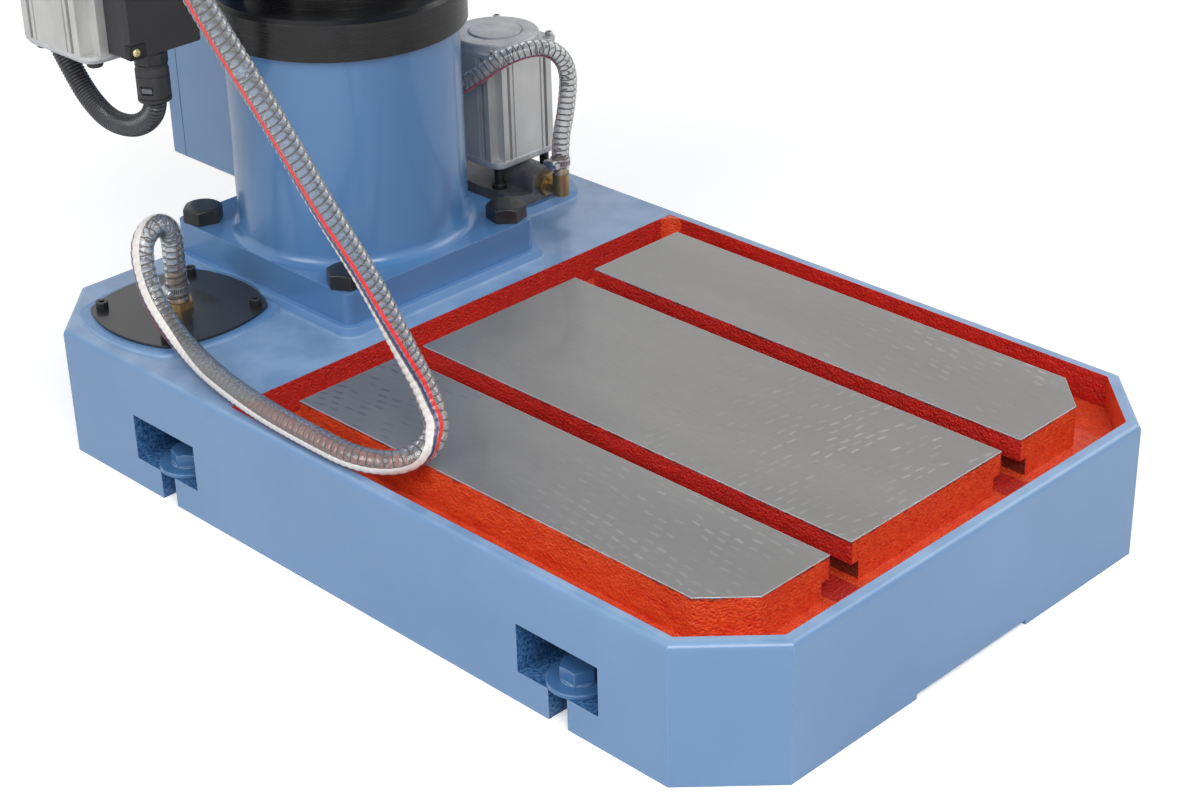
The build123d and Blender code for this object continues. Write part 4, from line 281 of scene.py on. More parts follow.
def base_paint():
    """The base: blue outside, red lead brushed into the trough and slots, lands ground bare."""
    finish = Finish("base_paint", blue, 0.3, Coat_Weight=0.3, Coat_Roughness=0.08)
    mixed = finish.mixed
    x, y, z = finish.spots()
    across = abs(x)
    ragged = 0.0006
    level = z + finish.clouds(160).band(0.3, 0.7, -ragged, ragged)
    trough_half, trough_front, trough_back, trough_corner = 0.2876, -0.4526, 0.1506, 0.6796
    trough_floor, trough_rim, deck_z, land_z, land_back = 0.0985, 0.1392, 0.1346, 0.1395, 0.11
    walled = (across < trough_half) * y.inside(trough_front, trough_back) * (across - y < trough_corner)
    trough = walled * (z > trough_floor) * (level < trough_rim)
    land = (z > land_z) * (y < land_back)

    # Outside: sprayed blue, with the deck's top in a tone of its own as painted light, edges worn and partly
    # painted as highlights, a painted highlight along the deck's rim, and painted shade, pitted rough, in the
    # pockets of the feet
    drift = finish.drift()
    # Painted light: above deck_z the top face gets its own tone instead of the sides' blue
    sprayed = mixed(z > deck_z, mixed(drift, blue_deep, blue), mixed(drift, deck_tone_for_light_deep, deck_tone_for_light))
    # Painted highlight: a patchy pale band along the rounded top edge of the deck, on top of edges rubbed
    # paler and partly painted as highlights
    rim = z.band(0.1296, 0.1326) * z.band(0.1349, 0.1338)
    rim_painted_highlight = rim * finish.clouds(24).band(0.34, 0.6, 0.25, 0.8)
    rubbed = finish.worn(0.0018, 90, start=0.2) | rim_painted_highlight
    from_foot = abs(y + 0.2755) & abs(y - 0.247)
    pocket = across.inside(0.236, 0.2994) * z.inside(0.0292, 0.0775) * (from_foot < 0.0468)
    foot_slot = across.inside(0.26, 0.2994) * (z < 0.0292) * (from_foot < 0.0113)
    pitted = finish.clouds(340, 4.0)
    # Painted shade: the pockets of the feet and the slots below them are painted a darker, pitted blue
    pocket_shade_blue = mixed(pitted.band(0.35, 0.66), rgb(28, 74, 124), rgb(84, 130, 178))
    outside = mixed(pocket | foot_slot, mixed(rubbed, sprayed, blue_wear_and_highlight), pocket_shade_blue)

    # Red lead: a lit tone on the floor and the lands' sides, painted shade in the slots and along the outer
    # walls, soiled along the rim, and painted shade at the foot of the slots
    strokes = finish.strokes()
    # Painted light: a lit orange tone on the trough's floor and the lands' sides, and, as thin below, a
    # darker tone painted as shade in the slots and along the outer walls
    lit_red = mixed(strokes.band(0.34, 0.7), red_lead, red_lead_lit)
    thin = mixed(strokes.band(0.3, 0.66), red_shade, red_wall_shade)
    slot = across.inside(0.0985, 0.1285)
    brushed = mixed(slot | ((across > 0.2862) | (y > 0.1488)), lit_red, thin)
    rim_line = level.inside(0.1372, 0.1394) * finish.clouds(60).band(0.45, 0.6)
    darkened = mixed(rim_line * 0.75, brushed, rgb(86, 44, 24))
    # Painted shade: the walls of the slots' undercut, under the step, are painted dark brown
    slot_undercut_shade = across.inside(0.0895, 0.1375) * z.inside(0.1008, 0.1183) * y.inside(-0.4119, 0.1015)
    darkened = mixed(slot_undercut_shade * 0.85, darkened, rgb(62, 30, 20))

    # Lands: ground iron with its grain, oily at the back, scraped at the front, darker and browner towards
    # the front right, and a painted highlight along their edges
    grain = finish.clouds(1500, 2.0, (1.0, 0.04, 1.0))
    mottle = finish.clouds(14, 3.0, (1.0, 0.25, 1.0))
    ground = mixed(mottle.band(0.3, 0.75), iron_dull, iron)
    ground = mixed(grain.band(0.3, 0.7, 0.0, 0.35), ground, rgb(128, 127, 126))
    # Darker and browner towards the front right
    ground = mixed((y - x).band(0.2, -0.5, 0.0, 0.3), ground, rgb(120, 116, 112))
    oily = scraped_rows(finish, radians(84)) * y.band(-0.06, 0.06) * (x < -0.13)
    ground = mixed(oily * 0.5, ground, rgb(84, 86, 92))
    ground = mixed(scraped_dashes(finish, across, y) * 0.36, ground, rgb(212, 212, 214))
    # Painted highlight: a bluish white line along the lands' edges
    ground = mixed(finish.edges(0.0013) * 0.85, ground, rgb(226, 232, 238))

    brush_height, pit_height = 4.6, 2.4
    lumps = (strokes + finish.clouds(420)) * trough * brush_height
    return finish.done(
        finish.peel() * (1.0 - land) + lumps + pitted * pocket * pit_height,
        0.0006,
        Base_Color=mixed(land, mixed(trough, outside, darkened), ground),
        Roughness=trough.band(0, 1, 0.27, 0.44) + (land * 0.1 + land * grain * 0.12),
        Metallic=land * iron_shine,
    )


def slide_paint(name, bare_at, red_at=None):
    """Blue enamel with ground ways where bare_at says, and red lead where red_at says."""
    finish = Finish(name, blue, 0.3, Coat_Weight=0.3, Coat_Roughness=0.08)
    spots = finish.spots()
    bare = bare_at(*spots)
    painted = finish.mixed(finish.drift(), blue_deep, blue)
    if red_at:
        brushed = finish.mixed(finish.strokes().band(0.3, 0.66), red_shade, red_lead)
        painted = finish.mixed(red_at(*spots), painted, brushed)
    painted = finish.mixed(finish.worn(0.0013, 120), painted, blue_wear_and_highlight)
    grain = finish.clouds(1200, 2.0, (0.06, 1.0, 1.0))
    ground = finish.mixed(finish.clouds(16).band(0.35, 0.7), iron_dull, iron)
    return finish.done(
        finish.peel() * (1.0 - bare),
        0.0005,
        Base_Color=finish.mixed(bare, painted, ground),
        Metallic=bare * iron_shine,
        Roughness=bare * grain.band(0.3, 0.7, 0.02, 0.18) + 0.28,
    )


table_middle = 0.035


def table_within(x, y, z, half_width, half_length):
    """The upper part of the cross table, out to half a width and half a length."""
    gutter_floor = 0.8595
    return (abs(y + table_middle) < half_width) * (abs(x) < half_length) * (z > gutter_floor)


def table_bare(x, y, z):
    """The ground faces of the cross table: its rim, the top inside the gutter, T-slots and ways."""
    ways = (abs(y + table_middle) < 0.1) * (z < 0.8585) * x.inside(-0.3995, 0.3995)
    rim_z = 0.9002
    return (z > rim_z) | table_within(x, y, z, 0.0968, 0.3768) | ways


def table_red(x, y, z):
    """The gutter round the cross table."""
    return table_within(x, y, z, 0.1132, 0.3932)


def saddle_bare(x, y, z):
    """The way on top of the saddle, and the way cut under it."""
    top_way, low_way, half_width = 0.83545, 0.7775, 0.089
    return (z > top_way) | (z < low_way) * x.inside(-half_width, half_width)


def bracket_bare(x, y, z):
    """The way on top of the bracket's arm."""
    way_z, arm_back = 0.75505, 0.18
    return (z > way_z) * (y < arm_back)


def divided_dial(name, axis, centre, radius, start, marks):
    """Turned steel with a dial: fine dark lines cut round its edge, each fifth one longer."""
    steel = rgb(196, 197, 199)
    finish = Finish(name, steel, 0.22, 0.85)
    across = finish.spots(centre=centre)
    away = abs(across.pop(axis) - start)
    reach = calc("SQRT", across[0] * across[0] + across[1] * across[1])
    turn = calc("ARCTAN2", *across) / (2 * pi)
    short, long = [
        (calc("FRACT", turn * count) < width) * (away < length)
        for count, width, length in ((marks, 0.16, 0.0045), (marks / 5, 0.032, 0.008))
    ]
    near = 0.0008
    cuts = reach.inside(radius - near, radius + near) * (short | long)
    lathe = finish.clouds(900, 3.0, (0.04, 0.04, 0.04))
    stains = finish.clouds(24, 5.0).band(0.35, 0.7, 0.0, 0.5)
    stained = finish.mixed(stains, steel, rgb(150, 151, 153))
    lined = finish.mixed(cuts, stained, rgb(30, 30, 32))
    roughness = lathe.band(0.3, 0.7, 0.16, 0.3)
    return finish.done(1.0 - cuts, 0.0002, 0.0008, Base_Color=lined, Roughness=roughness)


def bare_metal(name, colour, dark, roughness, stretch, metallic=0.85):
    """Drawn, turned or ground metal, with its tool marks along one direction."""
    finish = Finish(name, colour, roughness, metallic)
    lines = finish.clouds(900, 3.0, stretch)
    stains = finish.clouds(24, 5.0).band(0.35, 0.7)
    stained = finish.mixed(stains * 0.6, colour, dark)
    tooled = lines.band(0.3, 0.7, roughness - 0.08, roughness + 0.12)
    return finish.done(lines, 0.00004, 0.0006, Base_Color=stained, Roughness=tooled)


def die_cast(name, colour, dark):
    """Bare die-cast metal: grainy, with a skin of flow marks."""
    finish = Finish(name, colour, 0.46, 0.4)
    flow = finish.clouds(60, 6.0, (1, 1, 0.5), rough=0.65).band(0.3, 0.7)
    return finish.done(finish.clouds(700), 0.00012, 0.0014, Base_Color=finish.mixed(flow, dark, colour))


def moulded(name, colour, roughness, grain=0.00006):
    """Moulded plastic or rubber with a fine spark-eroded grain and pale scuffs on its edges."""
    finish = Finish(name, colour, roughness)
    scuffed = finish.mixed(finish.worn(0.0012, 130, 0.45, 0.65, 0.0, 0.45), colour, paler(colour, 2.2))
    rubbed = finish.clouds(80).band(0.3, 0.7, roughness - 0.05, roughness + 0.07)
    return finish.done(finish.clouds(1400, 2.0), grain, 0.0008, Base_Color=scuffed, Roughness=rubbed)


def black_oxide(name, roughness):
    """Oiled black oxide on steel, brown where it is thin."""
    black = rgb(40, 41, 44)
    finish = Finish(name, black, roughness, 0.35)
    thin = finish.clouds(35, 5.0).band(0.5, 0.8)
    oiled = finish.mixed(thin, black, rgb(62, 56, 52))
    rubbed = finish.mixed(finish.worn(0.0012, 150, 0.4, 0.6, 0.1), oiled, rgb(118, 118, 120))
    return finish.done(finish.clouds(500), 0.00006, Base_Color=rubbed)


def clear_pvc(name, share):
    """Clear hose wall that bends the light; share is how much of it is clear."""
    shell = {"Transmission_Weight": share, "IOR": 1.36, "Coat_Weight": 0.5}
    finish = Finish(name, rgb(236, 238, 240), 0.04, **shell)
    haze = finish.clouds(160, 4.0).band(0.35, 0.7)
    clean = finish.mixed(haze, rgb(236, 239, 241), rgb(252, 252, 252))
    residue = finish.spots()[2].band(0.2, 0.155, 0.0, 0.3)
    darkened = finish.mixed(residue, clean, rgb(208, 196, 188))
    return finish.done(finish.clouds(300), 0.00012, Base_Color=darkened)


def printed(name, colour):
    """A line printed along the hose, a little uneven in strength."""
    finish = Finish(name, colour, 0.3, Coat_Weight=0.4, Coat_Roughness=0.06)
    uneven = finish.mixed(finish.clouds(220).band(0.4, 0.7), colour, paler(colour, 1.12))
    return finish.done(finish.clouds(420), 0.0003, Base_Color=uneven)


blue_enamel = enamel("blue_enamel", blue, blue_deep, blue_wear_and_highlight, 0.28)
# Painted shade: the column foot gets a darker copy of the base's blue enamel
foot_enamel_shaded = enamel("foot_enamel_shaded", rgb(86, 131, 180), rgb(79, 124, 173), rgb(140, 174, 212), 0.24)
black_enamel = enamel("black_enamel", rgb(31, 31, 34), rgb(25, 25, 28), rgb(74, 74, 78), 0.38)
oxide = black_oxide("black_oxide", 0.28)
turned_black = bare_metal("turned_black", rgb(34, 34, 36), rgb(24, 23, 23), 0.24, (0.02, 0.02, 1), 0.3)
ground_steel = bare_metal("ground_steel", rgb(190, 191, 193), rgb(150, 151, 153), 0.24, (0.03, 0.03, 1))
gear_steel = bare_metal("gear_steel", rgb(160, 161, 162), rgb(112, 110, 106), 0.36, (1, 0.05, 1))
zinc = bare_metal("zinc_plate", rgb(196, 198, 200), rgb(150, 152, 156), 0.3, (1, 1, 0.05))
drawn_grey, drawn_dull = rgb(208, 208, 206), rgb(184, 184, 184)
extruded = bare_metal("extruded_aluminium", drawn_grey, drawn_dull, 0.36, (1, 1, 0.01), 0.5)
cast_grey = die_cast("die_cast", rgb(216, 217, 219), rgb(180, 182, 185))
pump_iron = die_cast("pump_iron", rgb(122, 122, 126), rgb(84, 83, 84))
brass = bare_metal("turned_brass", rgb(178, 150, 106), rgb(108, 86, 56), 0.32, (1, 1, 0.06))
black_plastic = moulded("black_plastic", rgb(42, 42, 45), 0.45)
phenolic = moulded("black_phenolic", rgb(22, 22, 24), 0.18, 0.00002)
red_plastic = moulded("red_plastic", rgb(190, 28, 24), 0.3, 0.00003)
green_plastic = moulded("green_plastic", rgb(34, 128, 62), 0.3, 0.00003)
grey_plastic = moulded("grey_plastic", rgb(172, 174, 174), 0.5)

finishes = {
    base_paint(): ["base_casting"],
    blue_enamel: ["cabinet_box", "cabinet_door", "lift_gearbox", "head_casting", "head_cover", "main_motor"],
    foot_enamel_shaded: ["column_foot"],
    black_enamel: ["tank_cover", "motor_fan_cover"],
    oxide: ["tank_cover_screws", "pump_studs", "clamp_lever"],
    turned_black: ["rack_collars"],
    ground_steel: ["column_tube", "quill", "spindle"],
    divided_dial("x_dial_steel", 0, (0, -0.035, 0.8063), 0.028, 0.4183, 50): ["x_handwheel"],
    divided_dial("y_dial_steel", 1, (0, 0, 0.73), 0.028, -0.2553, 50): ["y_handwheel"],
    divided_dial("feed_dial_steel", 0, (0, 0.03, 1.505), 0.056, 0.1503, 100): ["feed_hub"],
    slide_paint("table_paint", table_bare, table_red): ["cross_table"],
    slide_paint("saddle_paint", saddle_bare): ["saddle"],
    slide_paint("bracket_paint", bracket_bare): ["table_bracket"],
    gear_steel: ["lift_rack", "lift_pinion", "spindle_gear", "motor_pinion", "pump_impeller"],
    zinc: ["table_drain"],
    pump_iron: ["pump_body"],
    brass: ["tank_fitting", "pump_elbow", "coolant_nozzle", "feed_nuts"],
    black_plastic: ["terminal_box", "terminal_lid", "control_panel"],
    phenolic: ["x_grip", "y_grip", "feed_knobs", "speed_lever_left", "speed_lever_right"],
    red_plastic: ["main_switch", "stop_button", "emergency_stop"],
    green_plastic: ["start_button"],
    grey_plastic: ["switchgear"],
}
for finish, names in finishes.items():
    for name in names:
        nodes[name].data.materials.clear()
        nodes[name].data.materials.append(finish)

# Hoses and conduit
clear = clear_pvc("clear_pvc", 0.9)
clear_bore = clear_pvc("clear_bore", 0.97)
white_print = printed("white_print", rgb(220, 215, 210))
navy_print = printed("navy_print", rgb(38, 38, 92))
red_print = printed("red_print", rgb(220, 26, 30))
wire_steel = bare_metal("wire_steel", rgb(86, 77, 68), rgb(54, 47, 40), 0.24, (1, 1, 1))
hose_finishes = [clear, clear_bore, white_print, navy_print, red_print, wire_steel]
CLEAR, BORE, WHITE, NAVY, RED, WIRE = range(6)


def spline_points(points):
    """Points along the smooth spline that has the route's points as its control points."""
    curve = bpy.data.curves.new("route", "CURVE")
    curve.dimensions = "3D"
    curve.resolution_u = 48
    spline = curve.splines.new("NURBS")
    spline.points.add(len(points) - 1)
    for control, point in zip(spline.points, points):
        control.co = (*point, 1.0)
    spline.order_u = 3
    spline.use_endpoint_u = True
    holder = bpy.data.objects.new("route", curve)
    line = bpy.data.meshes.new_from_object(holder)
    found = []
    for vertex in line.vertices:
        if not found or (vertex.co - found[-1]).length > 1e-5:
            found.append(vertex.co.copy())
    bpy.data.meshes.remove(line)
    bpy.data.objects.remove(holder)
    bpy.data.curves.remove(curve)
    return found


def stations(line, spacing):
    """Evenly spaced rings along a line: their distance, centre and two directions across it."""
    reached = [0.0]
    for before, after in zip(line, line[1:]):
        reached.append(reached[-1] + (after - before).length)
    count = max(2, round(reached[-1] / spacing))
    found = []
    side = None
    leg = 0
    for step in range(count + 1):
        distance = reached[-1] * step / count
        while leg < len(line) - 2 and reached[leg + 1] < distance:
            leg += 1
        share = (distance - reached[leg]) / (reached[leg + 1] - reached[leg])
        centre = line[leg].lerp(line[leg + 1], share)
        heading = (line[leg + 1] - line[leg]).normalized()
        if side is None:
            side = heading.orthogonal().normalized()
        side = (side - heading * side.dot(heading)).normalized()
        found.append((distance, centre, side.copy(), heading.cross(side)))
    return found


def nearest_ring(rings, point):
    """The number of the ring nearest to a point."""
    return min(range(len(rings)), key=lambda row: (rings[row][1] - Vector(point)).length)


def wound(rings, facings):
    """The rings turned about the line, so that the first side winds past the facing at each spot."""
    front = Vector((-0.62, -0.63, 0.47))
    held = []
    for spot, degrees, way in facings:
        facing = front * cos(radians(degrees)) + way.normalized() * sin(radians(degrees))
        distance, centre, side, up = rings[nearest_ring(rings, spot)]
        angle = atan2(facing.dot(up), facing.dot(side))
        if held:
            angle += 2 * pi * round((held[-1][1] - angle) / (2 * pi))
        held.append((distance, angle))
    found = []
    for distance, centre, side, up in rings:
        after = next((k for k, (reach, angle) in enumerate(held) if reach >= distance), len(held) - 1)
        before = max(0, after - 1)
        gap = held[after][0] - held[before][0]
        share = min(1.0, max(0.0, (distance - held[before][0]) / gap)) if gap else 1.0
        share = share * share * (3 - 2 * share)
        angle = held[before][1] + (held[after][1] - held[before][1]) * share
        c, s = cos(angle), sin(angle)
        found.append((distance, centre, side * c + up * s, up * c - side * s))
    return found


def ring(station, radius, sides):
    """The points of one ring; its radius is a number, or found from the distance and the angle."""
    distance, centre, side, up = station
    points = []
    for step in range(sides):
        angle = 2 * pi * step / sides
        reach = radius(distance, angle) if callable(radius) else radius
        points.append(centre + (side * cos(angle) + up * sin(angle)) * reach)
    return points


def skin(vertices, faces, marks, rings, side_marks, inward=False):
    """Adds the wall that joins a row of rings; returns the first and last ring's indices."""
    sides = len(rings[0])
    first = len(vertices)
    for points in rings:
        vertices.extend(points)
    for row in range(len(rings) - 1):
        low = first + row * sides
        for step in range(sides):
            after = (step + 1) % sides
            corners = [low + step, low + after, low + sides + after, low + sides + step]
            faces.append(corners[::-1] if inward else corners)
        marks.extend(side_marks)
    last = first + (len(rings) - 1) * sides
    return list(range(first, first + sides)), list(range(last, last + sides))


def tube_ends(faces, marks, wall, lining, mark):
    """Closes a tube's two ends between its wall and its lining."""
    for outer, inner, turned_over in ((wall[0], lining[0], False), (wall[1], lining[1], True)):
        for step in range(len(outer)):
            after = (step + 1) % len(outer)
            corners = [outer[step], inner[step], inner[after], outer[after]]
            faces.append(corners[::-1] if turned_over else corners)
            marks.append(mark)


def mesh_piece(name, vertices, faces, marks, finishes):
    """A new smooth-shaded mesh object with a finish for each mark."""
    mesh = bpy.data.meshes.new(name)
    mesh.from_pydata(vertices, [], faces)
    for finish in finishes:
        mesh.materials.append(finish)
    mesh.polygons.foreach_set("material_index", marks)
    mesh.polygons.foreach_set("use_smooth", [True] * len(faces))
    mesh.update()
    piece = bpy.data.objects.new(name, mesh)
    bpy.context.scene.collection.objects.link(piece)
    return piece


hose_sides = 60
wire_sides = 6
wire_turn_steps = 20


def wire_hose(name, rings, sizes, stripes):
    """A clear hose over its rings: wall drawn in at each turn of the wire, bore, wire and printed lines.

    sizes are the outer and bore radius, the draw-in, and the wire's radius and pitch;
    stripes give the mark of each printed line, its first side and the side after its last.
    """
    outer_r, bore_r, draw, wire_r, pitch = sizes
    sharpness = 5
    vertices, faces, marks = [], [], []

    def outer(distance, angle):
        return outer_r - draw * abs(cos(pi * distance / pitch - angle / 2)) ** sharpness

    side_marks = [CLEAR] * hose_sides
    for mark, first, last in stripes:
        for step in range(first, last):
            side_marks[step % hose_sides] = mark
    wall = skin(vertices, faces, marks, [ring(s, outer, hose_sides) for s in rings], side_marks)
    bore_rings = [ring(s, bore_r, hose_sides) for s in rings[:-1:6] + rings[-1:]]
    lining = skin(vertices, faces, marks, bore_rings, [BORE] * hose_sides, True)
    tube_ends(faces, marks, wall, lining, CLEAR)

    wire_line_r = outer_r - draw - wire_r * 1.4
    wire_rings = []
    start, end = rings[0][0] + pitch / 2, rings[-1][0] - pitch / 2
    spacing = rings[1][0] - rings[0][0]
    count = round((end - start) / pitch * wire_turn_steps)
    for step in range(count + 1):
        distance = start + (end - start) * step / count
        row = min(len(rings) - 2, int((distance - rings[0][0]) / spacing))
        share = (distance - rings[row][0]) / spacing
        centre = rings[row][1].lerp(rings[row + 1][1], share)
        side, up = rings[row][2:]
        angle = 2 * pi * distance / pitch
        out = side * cos(angle) + up * sin(angle)
        around = (distance, centre + out * wire_line_r, out, side.cross(up))
        wire_rings.append(ring(around, wire_r, wire_sides))
    wire = skin(vertices, faces, marks, wire_rings, [WIRE] * wire_sides, True)
    faces.extend([wire[0], wire[1][::-1]])
    marks.extend([WIRE, WIRE])
    return mesh_piece(name, vertices, faces, marks, hose_finishes)


tank_port = (-0.201, 0.344, 0.1455)
lift_split = (-0.341, 0.012, 0.500)
slide_split = (-0.402, 0.031, 0.656)
drain_top = (-0.430, 0.040, 0.8636)
return_route = [
    tank_port, (-0.201, 0.344, 0.185), (-0.203, 0.339, 0.2188), (-0.2174, 0.3337, 0.2345),
    (-0.2376, 0.3263, 0.237), (-0.252, 0.321, 0.2225), (-0.2545, 0.310, 0.1845), (-0.256, 0.288, 0.1625),
    (-0.260, 0.2494, 0.146), (-0.274, 0.185, 0.1434), (-0.284, 0.111, 0.1433), (-0.286, 0.042, 0.1433),
    (-0.2855, -0.026, 0.1433), (-0.264, -0.064, 0.146), (-0.229, -0.066, 0.1605), (-0.223, -0.048, 0.1905),
    (-0.235, -0.034, 0.234), (-0.2557, -0.0213, 0.2988), (-0.2893, -0.0058, 0.3773), (-0.316, 0.003, 0.444),
    lift_split, (-0.3635, 0.0201, 0.5504), (-0.384, 0.026, 0.602), slide_split,
    (-0.4182, 0.0355, 0.7046), (-0.428, 0.039, 0.757), (-0.430, 0.040, 0.812), drain_top,
]
delivery_route = [
    (0.214, 0.237, 0.178), (0.214, 0.237, 0.212), (0.224, 0.235, 0.249), (0.227, 0.233, 0.294),
    (0.205, 0.241, 0.319), (0.170, 0.258, 0.316), (0.141, 0.285, 0.290), (0.125, 0.322, 0.263),
    (0.119, 0.362, 0.256), (0.120, 0.394, 0.279), (0.123, 0.403, 0.325), (0.125, 0.406, 0.410),
    (0.124, 0.402, 0.56390), (0.126, 0.406, 0.75020), (0.124, 0.403, 0.92840), (0.126, 0.404, 1.08230),
    (0.126, 0.385, 1.220), (0.129, 0.305, 1.320), (0.130, 0.228, 1.372), (0.130, 0.214, 1.413),
    (0.130, 0.214, 1.455),
]
conduit_route = [
    (-0.2195, 0.3165, 0.364), (-0.2195, 0.318, 0.353), (-0.2195, 0.336, 0.336), (-0.2195, 0.362, 0.325),
    (-0.2195, 0.397, 0.323), (-0.2195, 0.427, 0.338), (-0.2195, 0.448, 0.360), (-0.2195, 0.474, 0.392),
    (-0.2195, 0.480, 0.450), (-0.2195, 0.480, 0.517),
]

# The printed lines wind round their hoses: at each spot they lie an angle round from the front to a side
left = Vector((-0.71, 0.70, 0.0))
down = Vector((-0.33, -0.335, -0.88))
return_facings = [
    (tank_port, -125, left),
    ((-0.203, 0.339, 0.2188), -115, left),
    ((-0.227, 0.330, 0.236), -110, down),
    ((-0.252, 0.321, 0.2225), 30, left),
    ((-0.256, 0.288, 0.1625), 28, left),
    ((-0.274, 0.185, 0.143), 42, left * 0.6 + down * 0.8),
    ((-0.286, 0.042, 0.143), 56, left * 0.55 + down * 0.85),
    ((-0.264, -0.064, 0.146), 50, down),
    ((-0.229, -0.066, 0.1605), 24, left + down * 0.4),
    ((-0.223, -0.048, 0.1905), 36, left),
    ((-0.256, -0.021, 0.299), 58, left),
    ((-0.316, 0.003, 0.444), 80, left),
    (drain_top, 84, left),
]
delivery_facings = [
    ((0.214, 0.237, 0.178), 62, left),
    ((0.227, 0.233, 0.294), 62, left),
    ((0.205, 0.241, 0.317), 58, down),
    ((0.155, 0.270, 0.304), 56, down - left * 0.4),
    ((0.119, 0.362, 0.257), 60, down),
    ((0.125, 0.406, 0.410), 60, left),
    ((0.130, 0.214, 1.455), 60, left),
]
return_stripes = [(WHITE, -4, 3), (NAVY, 4, 6), (RED, 7, 10)]
delivery_stripes = [(NAVY, -1, 0), (RED, -3, -1)]
return_sizes = (0.011, 0.008, 0.0006, 0.0008, 0.0074)
delivery_sizes = (0.00925, 0.00675, 0.0006, 0.00065, 0.0064)
return_rings = wound(stations(spline_points(return_route), 0.00105), return_facings)
delivery_rings = wound(stations(spline_points(delivery_route), 0.0016), delivery_facings)


def length_of(line):
    """How long a row of rings is."""
    return line[-1][0] - line[0][0]


def laid(replaced, line, step=4):
    """Hides the part that a cord replaces; works out the cord's length and a path of one ring in each step
    and the last, but keeps neither.
    """
    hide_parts(replaced)
    length_of(line)
    [station[1] for station in line[:-1:step]] + [line[-1][1]]


# The lower stretch's own steep way, up to beside the split, is worked out here, but nothing uses it
lower_start = Vector((-0.22, -0.05, 0.19))
lower_rise = Vector((0.0, -0.3, 0.95))
lower_end = lower_start + (Vector(lift_split) - lower_start).project(lower_rise)
lift_ring = nearest_ring(return_rings, lift_split)
slide_ring = nearest_ring(return_rings, slide_split)
last_ring = len(return_rings) - 1
stretches = {
    "return_hose_lower": (0, lift_ring, "base", "bracket", lower_start, lower_end),
    "return_hose_middle": (lift_ring, slide_ring, "bracket", "saddle", lift_split, slide_split),
    "return_hose_upper": (slide_ring, last_ring, "saddle", "table", slide_split, drain_top),
}
for name, (first, last, *blended) in stretches.items():
    rings = return_rings[first : last + 1]
    hose = wire_hose("wound_" + name, rings, return_sizes, return_stripes)
    laid(name, rings)
    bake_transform(hose)

delivery = wire_hose("wound_delivery_hose", delivery_rings, delivery_sizes, delivery_stripes)
laid("delivery_hose", delivery_rings)
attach(delivery, "base")

# Painted light: the conduit's rib crests are lighter and glossier as a painted highlight, its grooves darker
# as painted shade
conduit_groove_shade = moulded("conduit_groove_shade", rgb(18, 18, 20), 0.45, 0.00002)
conduit_crest_highlight = moulded("conduit_crest_highlight", rgb(62, 63, 68), 0.24, 0.00002)
conduit_r = 0.0106


def ribbed_conduit():
    """The black conduit and its line: square-topped ribs at a close pitch, with its bore."""
    root_r, bore_r, pitch, sides = 0.0088, 0.0074, 0.0033, 40
    profile = [(0.0, root_r), (0.36, root_r), (0.46, conduit_r), (0.80, conduit_r), (0.92, root_r)]
    line = stations(spline_points(conduit_route), pitch / 10)
    count = int(length_of(line) / pitch)
    vertices, faces, marks = [], [], []
    chosen = []
    for rib in range(count):
        for share, radius in profile:
            chosen.append((line[round((rib + share) / count * (len(line) - 1))], radius))
    chosen.append((line[-1], root_r))
    outer_rings = [ring(station, radius, sides) for station, radius in chosen]
    inner_rings = [ring(station, bore_r, sides) for station, radius in chosen[::5]]
    wall = skin(vertices, faces, marks, outer_rings, [0] * sides)
    # Crest faces take the painted highlight, the rest the painted shade
    marks[:] = [1 if (face // sides) % len(profile) in (1, 2, 3) else 0 for face in range(len(marks))]
    lining = skin(vertices, faces, marks, inner_rings, [0] * sides, True)
    tube_ends(faces, marks, wall, lining, 0)
    return mesh_piece("ribbed_lift_conduit", vertices, faces, marks, [conduit_groove_shade, conduit_crest_highlight]), line


conduit, conduit_line = ribbed_conduit()
laid("lift_conduit", conduit_line, 8)
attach(conduit, "bracket")


# Modelling by hand
def begin(kind, **settings):
    """Adds a primitive, alone in the selection, and opens it for editing."""
    bpy.ops.object.select_all(action="DESELECT")
    getattr(bpy.ops.mesh, "primitive_" + kind + "_add")(**settings)
    bpy.ops.object.transform_apply()
    bpy.ops.object.mode_set(mode="EDIT")
    bpy.ops.mesh.select_all(action="SELECT")
    return bpy.context.object


def close(piece, finish):
    """Leaves edit mode with the faces pointing outwards, and gives the piece its finish."""
    bpy.ops.mesh.select_all(action="SELECT")
    bpy.ops.mesh.remove_doubles(threshold=0.000002)
    bpy.ops.mesh.normals_make_consistent()
    bpy.ops.object.mode_set(mode="OBJECT")
    piece.data.materials.append(finish)
    return piece


def pick(piece, test):
    """Selects the faces whose middle passes a test."""
    bpy.ops.mesh.select_all(action="DESELECT")
    mesh = bmesh.from_edit_mesh(piece.data)
    for face in mesh.faces:
        if test(face.calc_center_median()):
            face.select_set(True)
    bmesh.update_edit_mesh(piece.data)


def raise_to(centre, step, ratio=1.0):
    """Extrudes the selected face or edges by a step and resizes them about a centre."""
    bpy.ops.mesh.extrude_region_move(TRANSFORM_OT_translate={"value": step})
    if ratio != 1.0:
        bpy.ops.transform.resize(value=(ratio, ratio, 1.0), center_override=centre)


axis_turns = {"Z": (0, 0, 0), "-X": (0, -pi / 2, 0), "Y": (-pi / 2, 0, 0), "-Y": (pi / 2, 0, 0)}


